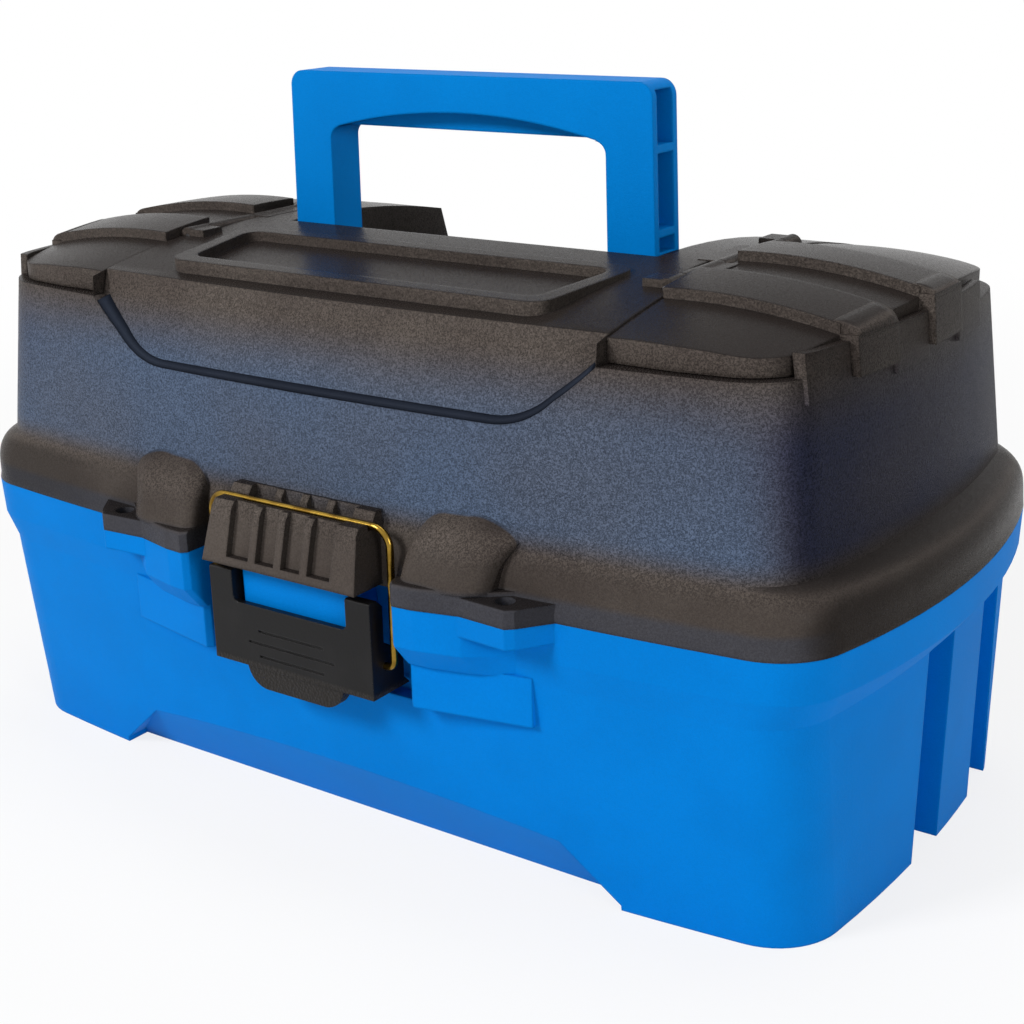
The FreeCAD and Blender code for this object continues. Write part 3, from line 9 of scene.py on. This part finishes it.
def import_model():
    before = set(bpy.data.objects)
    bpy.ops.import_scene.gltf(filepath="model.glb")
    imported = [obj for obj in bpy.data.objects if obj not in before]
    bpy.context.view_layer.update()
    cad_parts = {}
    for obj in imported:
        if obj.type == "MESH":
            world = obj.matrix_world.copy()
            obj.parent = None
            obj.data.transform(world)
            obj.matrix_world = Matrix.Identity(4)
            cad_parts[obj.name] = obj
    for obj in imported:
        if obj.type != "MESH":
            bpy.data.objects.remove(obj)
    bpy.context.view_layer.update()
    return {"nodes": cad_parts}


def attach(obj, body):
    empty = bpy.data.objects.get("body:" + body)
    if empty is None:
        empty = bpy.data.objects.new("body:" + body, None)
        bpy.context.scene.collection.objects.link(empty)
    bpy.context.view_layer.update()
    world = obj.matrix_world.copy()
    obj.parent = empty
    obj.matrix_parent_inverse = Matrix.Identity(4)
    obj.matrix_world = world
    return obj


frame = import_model()

MM = 0.001
LEATHER = 0.70 * MM                    # pitch of the creases in the lid's grain
SPARK = 0.75 * MM                      # pitch of the fine grain on the blue parts

# the lid's front and back walls, where the painted see-through blue and the painted end shade are laid, as
# bands of metres in the CAD frame, from 0 to 1
WALL_FOOT = (0.129, 0.140)             # height where the wall leaves the skirt
WALL_HEAD = (0.197, 0.170)             # height where it thickens towards the roof
WALL_SIDES = (0.080, 0.099)            # distance from the middle, front to back
WALL_ENDS = (0.204, 0.182)             # distance from the middle, along the box
WALL_PROUD = (1.3 * MM, 0.5 * MM)      # what stands further out than this isn't the wall
WALL_MIDDLE = 0.10697                  # the wall's reach at the middle, at WALL_LEVEL
WALL_LEVEL = 0.140
WALL_BOW = 0.353                       # per metre, how it falls back towards its ends
WALL_DRAFT = 0.0917                    # how it leans in with height
SKIRT_HEM = (0.1185, 0.1155)           # height of the thin lower edge
SKIRT_TOP = (0.131, 0.126)
CATCH_SIDE = (0.040, 0.046)            # distance along the box where the catch block ends
SKIRT_START = (0.042, 0.060)
SKIRT_SHADE = (-0.09, -0.15)           # painted shade on the skirt, deeper towards its left end
GRAIN_FOOT = (0.122, 0.132)            # the skirt's grain is fainter than the wall's
TONGUE_TOP = (0.0725, 0.0705)          # height where the lever's rough tongue begins


# ------------------------------------------------------------------ shader maths
class Sock:
    """A shader socket that can be added, multiplied and compared like a number."""

    def __init__(self, tree, socket):
        self.tree = tree
        self.socket = socket

    def math(self, operation, *others, clamp=False):
        return self.tree.node("ShaderNodeMath", {"operation": operation, "use_clamp": clamp},
                              [self, *others])

    def __add__(self, other):
        return self.math("ADD", other)

    def __radd__(self, other):
        return self.math("ADD", other)

    def __sub__(self, other):
        return self.math("SUBTRACT", other)

    def __rsub__(self, other):
        return self.tree.node("ShaderNodeMath", {"operation": "SUBTRACT"}, [other, self])

    def __mul__(self, other):
        return self.math("MULTIPLY", other)

    def __rmul__(self, other):
        return self.math("MULTIPLY", other)

    def band(self, low, high):
        """0 below low, 1 above high, smooth between; low may be above high to turn it round."""
        return self.tree.node("ShaderNodeMapRange", {"interpolation_type": "SMOOTHSTEP"},
                              {"Value": self, "From Min": low, "From Max": high})


class Finish:
    """One material's node tree, with short calls for the nodes it uses."""

    def __init__(self, name):
        self.material = bpy.data.materials.new(name)
        self.material.use_nodes = True
        self.nodes = self.material.node_tree.nodes
        self.links = self.material.node_tree.links
        self.nodes.clear()
        self.out = self.nodes.new("ShaderNodeOutputMaterial")

    def node(self, kind, settings=None, values=(), output=0):
        made = self.nodes.new(kind)
        for key, value in (settings or {}).items():
            setattr(made, key, value)
        pairs = values.items() if isinstance(values, dict) else enumerate(values)
        for key, value in pairs:
            if isinstance(value, Sock):
                self.links.new(value.socket, made.inputs[key])
            else:
                made.inputs[key].default_value = value
        return Sock(self, made.outputs[output])

    def place(self):
        return self.node("ShaderNodeTexCoord", output="Object")

    def axes(self):
        split = self.nodes.new("ShaderNodeSeparateXYZ")
        self.links.new(self.place().socket, split.inputs[0])
        return [Sock(self, split.outputs[i]) for i in range(3)]

    def facing(self, axis=2):
        """How far the surface faces along one of the piece's own axes, up by default."""
        split = self.nodes.new("ShaderNodeSeparateXYZ")
        self.links.new(self.node("ShaderNodeTexCoord", output="Normal").socket, split.inputs[0])
        return Sock(self, split.outputs[axis])

    def noise(self, scale, detail=3.0, rough=0.55, distortion=0.0):
        return self.node("ShaderNodeTexNoise", {}, {"Vector": self.place(), "Scale": scale, "Detail": detail,
                                                    "Roughness": rough, "Distortion": distortion})

    def cells(self, scale, smooth=0.6):
        return self.node("ShaderNodeTexVoronoi", {"feature": "SMOOTH_F1"},
                         {"Vector": self.place(), "Scale": scale, "Smoothness": smooth})

    def leather(self, scale):
        """Creased moulding grain, 0 in the pits and 1 on the crests."""
        creases = self.noise(scale, 2.0, 0.6, 0.9).band(0.42, 0.58)
        return 0.65 * creases + 0.35 * self.cells(1.35 * scale, 0.4).band(0.15, 0.7)

    def scaled(self, colour, factor):
        return self.node("ShaderNodeVectorMath", {"operation": "SCALE"}, {0: colour, 3: factor})

    def blend(self, factor, first, second):
        made = self.nodes.new("ShaderNodeMix")
        made.data_type = "RGBA"
        for socket, value in ((made.inputs[0], factor), (made.inputs[6], first), (made.inputs[7], second)):
            if isinstance(value, Sock):
                self.links.new(value.socket, socket)
            else:
                socket.default_value = value
        return Sock(self, made.outputs[2])

    def bump(self, height, distance, strength=1.0, under=None):
        values = {"Height": height, "Distance": distance, "Strength": strength}
        if under is not None:
            values["Normal"] = under
        return self.node("ShaderNodeBump", {}, values)

    def soft_edges(self, radius):
        return self.node("ShaderNodeBevel", {"samples": 4}, {"Radius": radius})

    def principled(self, **inputs):
        values = {name.replace("_", " "): value for name, value in inputs.items()}
        shader = self.node("ShaderNodeBsdfPrincipled", {}, values)
        self.links.new(shader.socket, self.out.inputs["Surface"])
        return shader


def tone(red, green, blue):
    """Display colour 0-255 to the linear colour that a shader wants."""
    def linear(value):
        value /= 255
        return value / 12.92 if value <= 0.04045 else ((value + 0.055) / 1.055) ** 2.4
    return (linear(red), linear(green), linear(blue), 1.0)


# SMOKE_BROWN and SMOKE_UMBER are the plastic's own tones; the top and end colours are painted shade, and the
# slate and hem colours are the blue tub painted as seen through the smoke
SMOKE_BROWN = tone(82, 75, 70)
SMOKE_UMBER = tone(71, 64, 60)
SMOKE_TOP_SHADE = tone(30, 26, 25)
SMOKE_PAINTED_SEE_THROUGH = tone(74, 88, 110)
SMOKE_END_SHADE = tone(50, 54, 78)
SMOKE_HEM_SEE_THROUGH = tone(66, 69, 78)


# ------------------------------------------------------------------ finishes
def opaque(name, light, dark, grain_size, grain_depth, rough, edge=1.2 * MM):
    """Opaque moulded plastic: fine spark grain, faint flow mottling and soft arrises."""
    f = Finish(name)
    mottling = f.noise(24, 4.0).band(0.36, 0.66)
    grain = f.leather(1 / grain_size)
    colour = f.scaled(f.blend(mottling, light, dark), 0.97 + 0.06 * grain)
    f.principled(Base_Color=colour, Roughness=rough + 0.08 * grain - 0.03 * mottling,
                 Normal=f.bump(grain, grain_depth, 1.0, f.soft_edges(edge)), Specular_IOR_Level=0.03)
    return f.material


def smoke(name, see_through, wall):
    """Smoked clear plastic: brown where it is thick, with painted slate blue where the blue box would show
    through it, painted shade on the tops, ends and skirt, and painted highlights on the grain's crests.
    """
    f = Finish(name)
    x, y, z = f.axes()
    # faces turned up: painted shade in the colour below, and a smoother grain
    top = f.facing().band(0.70, 0.93)
    grain = f.leather(1 / LEATHER)
    mottling = f.noise(17, 4.0).band(0.34, 0.68)
    colour = f.blend(mottling, SMOKE_BROWN, SMOKE_UMBER)
    if wall:
        depth_in, reach = y.math("ABSOLUTE"), x.math("ABSOLUTE")
        across = depth_in.band(*WALL_SIDES)
        along = reach.band(*WALL_ENDS)
        drift = 0.72 + 0.28 * f.noise(9, 2.0).band(0.3, 0.6)
        height = z.band(*WALL_FOOT) * z.band(*WALL_HEAD)
        hem = z.band(*SKIRT_HEM) * reach.band(*CATCH_SIDE)
        wall_face = WALL_MIDDLE - WALL_BOW * x * x - WALL_DRAFT * (z - WALL_LEVEL)
        sheet = (depth_in - wall_face).band(*WALL_PROUD)
        # painted see-through: slate blue where the blue tub would show through the front and back walls
        colour = f.blend(height * across * sheet * (0.45 + 0.55 * along) * drift, colour, SMOKE_PAINTED_SEE_THROUGH)
        # painted shade: the end walls are blended towards a dark blue, bluish where the tub shows through
        colour = f.blend(height * (1 - across) * drift, colour, SMOKE_END_SHADE)
        # painted see-through: the skirt's thin lower edge takes a blue grey where the tub's rim would show
        # through it
        colour = f.blend(0.7 * hem * across, colour, SMOKE_HEM_SEE_THROUGH)
        # painted shade: the skirt below its shoulder, away from the catch, is darkened, most at its left end
        skirt = z.band(*SKIRT_TOP) * reach.band(*SKIRT_START)
        colour = f.scaled(colour, 1 - skirt * (0.16 + 0.34 * x.band(*SKIRT_SHADE)))
    # painted shade: faces turned along the box, towards its ends, are darkened by up to 62%
    colour = f.scaled(colour, 1 - 0.62 * f.facing(0).math("ABSOLUTE").band(0.6, 0.95))
    # painted shade: faces turned up are blended towards a near black brown
    colour = f.blend(0.85 * top, colour, SMOKE_TOP_SHADE)
    depth = 1 - 0.85 * top
    if wall:
        depth = depth * (0.3 + 0.7 * z.band(*GRAIN_FOOT))
    # the grain's crests are painted lighter and its pits darker: partly the grain's own tone, partly painted
    # highlights on the crests
    colour = f.scaled(colour, 1 + 1.05 * (grain - 0.47) * depth)
    speck = f.noise(1500, 2.0).band(0.35, 0.7)
    f.principled(Base_Color=colour, Roughness=0.2 + 0.08 * speck + 0.12 * depth,
                 Normal=f.bump(grain * depth, 0.16 * MM, 1.0, f.soft_edges(2.0 * MM)),
                 Specular_IOR_Level=0.03, Alpha=see_through)
    return f.material


def metal(name, light, dark, rough):
    """Bare metal with a faint patina and fine scratches."""
    f = Finish(name)
    patina = f.noise(120, 4.0).band(0.35, 0.7)
    scratches = f.noise(900, 3.0)
    f.principled(Base_Color=f.blend(patina, light, dark), Metallic=1.0,
                 Roughness=rough + 0.12 * patina, Normal=f.bump(scratches, 0.04 * MM, 0.6))
    return f.material


def latch_plastic():
    """Glossy black acetal with a coarse spark-eroded grip on the tongue."""
    f = Finish("latch_black_acetal")
    grip = f.axes()[2].band(*TONGUE_TOP)
    stipple = f.cells(900, 0.3) * grip + 0.12 * f.noise(1300, 2.0)
    wear = f.noise(60, 4.0).band(0.4, 0.7)
    plate = f.blend(wear, tone(13, 12, 13), tone(19, 18, 19))
    f.principled(Base_Color=f.blend(grip, plate, tone(30, 27, 25)),
                 Roughness=0.3 + 0.2 * grip + 0.06 * wear, Specular_IOR_Level=0.2,
                 Normal=f.bump(stipple, 0.4 * MM, 1.0, f.soft_edges(0.7 * MM)))
    return f.material


tub_blue = opaque("tub_blue_polypropylene", tone(0, 122, 208), tone(0, 118, 202),
                  SPARK, 0.035 * MM, 0.5)
handle_blue = opaque("handle_blue_polypropylene", tone(0, 126, 209), tone(0, 122, 204),
                     SPARK, 0.03 * MM, 0.45)
tray_blue = opaque("tray_blue_polypropylene", tone(0, 112, 198), tone(0, 104, 188),
                   SPARK, 0.015 * MM, 0.4)
# painted shade: the sloping ledge round the sunk panel is given this dark blue grey
ledge_shadow = opaque("ledge_smoke_shadow", tone(38, 44, 56), tone(32, 37, 48),
                      LEATHER, 0.05 * MM, 0.5, 0.6 * MM)
smoke_wall = smoke("lid_smoke_grained", 0.96, True)
smoke_door = smoke("door_smoke_satin", 0.97, False)
latch_black = latch_plastic()
brass = metal("bail_brass", tone(158, 128, 54), tone(98, 74, 28), 0.18)
zinc = metal("arm_zinc", tone(190, 190, 192), tone(150, 150, 155), 0.3)

FINISH_OF_NODE = {
    "tub": tub_blue, "handle": handle_blue, "lid": smoke_wall,
    "right_bin_door": smoke_door, "left_bin_door": smoke_door,
    "latch_lever": latch_black, "latch_bail": brass,
    "lower_tray": tray_blue, "upper_tray": tray_blue,
    "lower_tray_dividers": tray_blue, "upper_tray_dividers": tray_blue,
}
for name, piece in frame["nodes"].items():
    piece.data.materials.clear()
    piece.data.materials.append(FINISH_OF_NODE.get(name, zinc))


# ------------------------------------------------------------------ fitted pieces
OUTSIDE = 0.3                          # rays start this far out, clear of the box
PANEL_Z = 171.2 * MM                   # lower edge of the lid's sunk panel
PANEL_RUN = 76 * MM                    # half of its straight lower edge
PANEL_LOW_MID = (89 * MM, 173.8 * MM)  # points of the two arcs that lead up to the deck
PANEL_KNEE = (100 * MM, 181.2 * MM)
PANEL_HIGH_MID = (108 * MM, 187.6 * MM)
PANEL_DECK = (115 * MM, 194 * MM)
LEDGE_WIDTH = 2.6 * MM
LEDGE_LIP = 0.2 * MM                   # the ledge starts this far behind the wall's face
LEDGE_ROOT = 0.5 * MM
SEAT = 0.04 * MM                       # a fitted piece lies this far out of the face that it joins
BAND_SPANS = ((-55.6 * MM, -31.4 * MM), (-3.6 * MM, 20.6 * MM))
BAND_PROBE = 0.178                     # a place on the band near its end
BAND_DROP = 1.2 * MM                   # level under the band's top where its end is measured
SHOULDER_REACH = 3 * MM                # along the band, and out over the tab
SHOULDER_DROP = 1.5 * MM               # down the tab's face
SHOULDER_STEPS = 8
LAND_HALF = 25.6 * MM                  # land inside the lever's window
LAND_FRONT = -119.0 * MM               # 1 mm behind the lever's plate
LAND_LOW = 90.0 * MM
LAND_HIGH = 107.4 * MM
LAND_TURN = 1.2 * MM
LAND_BACK_HIGH = -104.0 * MM           # in the wall of the latch pocket
LAND_BACK_LOW = -102.5 * MM


def cast(node, start, way):
    """Where a ray in the CAD frame first meets a node's surface, in metres."""
    hit, place = frame["nodes"][node].ray_cast(Vector(start), Vector(way))[:2]
    if not hit:
        raise ValueError("no surface of %s under %s" % (node, tuple(start)))
    return place


def swept(name, body, finish, sections, smooth_sides):
    """A closed strip through sections of as many points; the first smooth_sides sides are shaded as one."""
    count = len(sections[0])
    verts = [point for section in sections for point in section]
    faces, smooth = [], []
    for i in range(len(sections) - 1):
        for j in range(count):
            k = (j + 1) % count
            faces.append((i * count + j, i * count + k, (i + 1) * count + k, (i + 1) * count + j))
            smooth.append(j < smooth_sides)
    faces += [tuple(range(count)), tuple((len(sections) - 1) * count + j for j in range(count))]
    smooth += [False, False]
    mesh = bpy.data.meshes.new(name)
    mesh.from_pydata(verts, [], faces)
    mesh.polygons.foreach_set("use_smooth", smooth)
    work = bmesh.new()
    work.from_mesh(mesh)
    bmesh.ops.recalc_face_normals(work, faces=work.faces)
    work.to_mesh(mesh)
    work.free()
    mesh.materials.append(finish)
    piece = bpy.data.objects.new(name, mesh)
    bpy.context.scene.collection.objects.link(piece)
    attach(piece, body)
    return piece


def arc_through(start, middle, end, steps):
    """Points on the circle through three points of the XZ plane."""
    (ax, az), (bx, bz), (cx, cz) = start, middle, end
    twice = 2 * (ax * (bz - cz) + bx * (cz - az) + cx * (az - bz))
    sa, sb, sc = ax * ax + az * az, bx * bx + bz * bz, cx * cx + cz * cz
    ox = (sa * (bz - cz) + sb * (cz - az) + sc * (az - bz)) / twice
    oz = (sa * (cx - bx) + sb * (ax - cx) + sc * (bx - ax)) / twice
    first, last = math.atan2(az - oz, ax - ox), math.atan2(cz - oz, cx - ox)
    turn = (last - first + math.pi) % (2 * math.pi) - math.pi
    radius = math.hypot(ax - ox, az - oz)
    angles = [first + turn * i / steps for i in range(steps + 1)]
    return [(ox + radius * math.cos(angle), oz + radius * math.sin(angle)) for angle in angles]


def panel_ledge(name, side):
    """Sloping ledge round the sunk panel, in a dark painted-shade colour, on the front (side -1) or the back
    (side 1) of the lid.
    """
    right = arc_through((PANEL_RUN, PANEL_Z), PANEL_LOW_MID, PANEL_KNEE, 10)
    right += arc_through(PANEL_KNEE, PANEL_HIGH_MID, PANEL_DECK, 8)[1:-1]
    straight = [(PANEL_RUN * i / 6, PANEL_Z) for i in range(-5, 6)]
    line = [(-x, z) for x, z in reversed(right)] + straight + right
    far = side * OUTSIDE
    sections = []
    for i, (x, z) in enumerate(line):
        (px, pz), (nx, nz) = line[max(i - 1, 0)], line[min(i + 1, len(line) - 1)]
        along = math.hypot(nx - px, nz - pz)
        ix, iz = -(nz - pz) / along, (nx - px) / along
        outer = cast("lid", (x - 0.3 * MM * ix, far, z - 0.3 * MM * iz), (0, -side, 0)).y
        inner_x, inner_z = x + LEDGE_WIDTH * ix, z + LEDGE_WIDTH * iz
        inner = cast("lid", (inner_x, far, inner_z), (0, -side, 0)).y
        sections.append([(x, outer - side * LEDGE_LIP, z), (inner_x, inner + side * SEAT, inner_z),
                         (x, inner - side * LEDGE_ROOT, z)])
    piece = swept(name, "lid", ledge_shadow, sections, 1)


def band_shoulder(name, node, body, side, y0, y1):
    """Rounded shoulder where a door's raised band turns down into its end tab."""
    def top_at(x, y):
        return cast(node, (side * x, y, OUTSIDE), (0, 0, -1)).z

    def end_at(y, z):
        return abs(cast(node, (side * OUTSIDE, y, z), (-side, 0, 0)).x)

    sections = []
    for step in range(SHOULDER_STEPS + 1):
        y = y0 + (y1 - y0) * step / SHOULDER_STEPS
        end = end_at(y, top_at(BAND_PROBE, y) - BAND_DROP)
        tab = top_at(end + SHOULDER_REACH, y)
        face = end_at(y, tab - SHOULDER_DROP)
        back = end - SHOULDER_REACH
        brow = top_at(back, y)
        edge = top_at(end - 0.3 * MM, y)
        start = (back, brow + 0.03 * MM)
        pull = (face - 0.4 * MM, edge - 0.2 * MM)
        stop = (face + SEAT, tab - SHOULDER_DROP)
        curve = []
        for i in range(SHOULDER_STEPS + 1):
            t = i / SHOULDER_STEPS
            curve.append(tuple((1 - t) ** 2 * a + 2 * t * (1 - t) * b + t * t * c
                               for a, b, c in zip(start, pull, stop)))
        inside = [(face - 1 * MM, tab - SHOULDER_DROP), (face - 1 * MM, tab - 0.4 * MM),
                  (end - 0.4 * MM, tab - 0.4 * MM), (end - 0.4 * MM, edge - 0.8 * MM),
                  (back, brow - 0.8 * MM)]
        sections.append([(side * x, y, z) for x, z in curve + inside])
    piece = swept(name, body, smoke_door, sections, SHOULDER_STEPS)


def latch_land():
    """Land of the tub's front wall that fills the lever's window, with its front edges rounded."""
    turn = LAND_TURN
    sections = []
    for x, back in ((-LAND_HALF, turn), (-LAND_HALF + 0.35 * turn, 0.35 * turn), (-LAND_HALF + turn, 0),
                    (LAND_HALF - turn, 0), (LAND_HALF - 0.35 * turn, 0.35 * turn), (LAND_HALF, turn)):
        front = LAND_FRONT + back
        sections.append([(x, front, LAND_LOW), (x, front, LAND_HIGH - turn),
                         (x, front + 0.3 * turn, LAND_HIGH - 0.3 * turn), (x, front + turn, LAND_HIGH),
                         (x, LAND_BACK_HIGH, LAND_HIGH), (x, LAND_BACK_LOW, LAND_LOW)])
    piece = swept("latch_land", "tub", tub_blue, sections, 0)


panel_ledge("panel_ledge_front", -1)
panel_ledge("panel_ledge_rear", 1)
for side, hand in ((1, "right"), (-1, "left")):
    for number, (y0, y1) in enumerate(BAND_SPANS, 1):
        band_shoulder("%s_band_shoulder_%d" % (hand, number), hand + "_bin_door", hand + "_door",
                      side, y0, y1)
latch_land()


# ------------------------------------------------------------------ floor, light and camera
AMBIENT = 0.30                         # of the world, on matt surfaces
FLOOR_HALF = 6.0
FLOOR_FADE = (0.35, 1.1)               # radius where the floor turns from shadowed to pure white
CAMERA_PLACE = Vector((396.8, -540.6, 327.5)) * MM
CAMERA_TURNS = (35.43, 19.01, -1.52)   # azimuth, elevation and roll in degrees
CAMERA_SENSOR = 36.0
CAMERA_FOCUS = 1716.6 / 1024           # focal length over the sensor's width


def seen_straight(nodes, links):
    """1 for rays that show the backdrop: from the camera, and in gloss and clear plastic."""
    path = nodes.new("ShaderNodeLightPath")
    total = path.outputs["Is Camera Ray"]
    for name in ("Is Glossy Ray", "Is Transmission Ray"):
        add = nodes.new("ShaderNodeMath")
        add.use_clamp = True
        links.new(total, add.inputs[0])
        links.new(path.outputs[name], add.inputs[1])
        total = add.outputs[0]
    return total


def floor():
    """White floor that keeps the shadow near the box and fades into the backdrop."""
    half = FLOOR_HALF
    mesh = bpy.data.meshes.new("floor")
    mesh.from_pydata([(-half, -half, 0), (half, -half, 0), (half, half, 0), (-half, half, 0)], [],
                     [(0, 1, 2, 3)])
    plane = bpy.data.objects.new("floor", mesh)
    bpy.context.scene.collection.objects.link(plane)
    f = Finish("floor_white")
    x, y = f.axes()[:2]
    away = (x * x + y * y).math("SQRT").band(*FLOOR_FADE)
    diffuse = f.node("ShaderNodeBsdfDiffuse", {}, {"Color": (0.9, 0.9, 0.9, 1)})
    glow = f.node("ShaderNodeEmission", {}, {"Color": (1, 1, 1, 1), "Strength": 1.0})
    seen = Sock(f, seen_straight(f.nodes, f.links))
    mixed = f.node("ShaderNodeMixShader", {}, {0: seen * (0.8 + 0.2 * away), 1: diffuse, 2: glow})
    f.links.new(mixed.socket, f.out.inputs["Surface"])
    mesh.materials.append(f.material)


def world():
    """White backdrop, dimmer where it only lights the box."""
    sky = bpy.data.worlds.new("studio")
    bpy.context.scene.world = sky
    sky.use_nodes = True
    nodes, links = sky.node_tree.nodes, sky.node_tree.links
    nodes.clear()
    out = nodes.new("ShaderNodeOutputWorld")
    background = nodes.new("ShaderNodeBackground")
    level = nodes.new("ShaderNodeMapRange")
    level.inputs["To Min"].default_value = AMBIENT
    level.inputs["To Max"].default_value = 1.0
    links.new(seen_straight(nodes, links), level.inputs["Value"])
    background.inputs["Color"].default_value = (1, 1, 1, 1)
    links.new(level.outputs[0], background.inputs["Strength"])
    links.new(background.outputs[0], out.inputs["Surface"])


def softbox(name, place, target, size, power):
    lamp = bpy.data.lights.new(name, "AREA")
    lamp.shape = "RECTANGLE"
    lamp.size, lamp.size_y = size
    lamp.energy = power
    rig = bpy.data.objects.new(name, lamp)
    rig.location = place
    rig.rotation_euler = (Vector(target) - Vector(place)).to_track_quat("-Z", "Y").to_euler()
    bpy.context.scene.collection.objects.link(rig)


def camera():
    azimuth, elevation, roll = (math.radians(angle) for angle in CAMERA_TURNS)
    back = Vector((math.sin(azimuth) * math.cos(elevation), -math.cos(azimuth) * math.cos(elevation),
                   math.sin(elevation)))
    right = Vector((math.cos(azimuth), math.sin(azimuth), 0))
    up = back.cross(right)
    rolled_right = right * math.cos(roll) + up * math.sin(roll)
    rolled_up = up * math.cos(roll) - right * math.sin(roll)
    lens = bpy.data.cameras.new("camera")
    lens.sensor_width = CAMERA_SENSOR
    lens.lens = CAMERA_FOCUS * CAMERA_SENSOR
    lens.clip_start = 0.02
    view = bpy.data.objects.new("camera", lens)
    turn = Matrix((rolled_right, rolled_up, back)).transposed().to_4x4()
    view.matrix_world = Matrix.Translation(CAMERA_PLACE) @ turn
    bpy.context.scene.collection.objects.link(view)
    bpy.context.scene.camera = view


floor()
world()
softbox("key", (-1.5, -2.7, 2.2), (0, -0.1, 0.12), (0.9, 0.9), 88)
softbox("top", (0.1, 0.5, 2.4), (0, 0, 0.1), (1.4, 1.0), 16)
softbox("side", (2.4, -1.0, 0.9), (0, 0, 0.1), (0.8, 0.8), 20)
camera()
bpy.context.scene.view_settings.view_transform = "Standard"
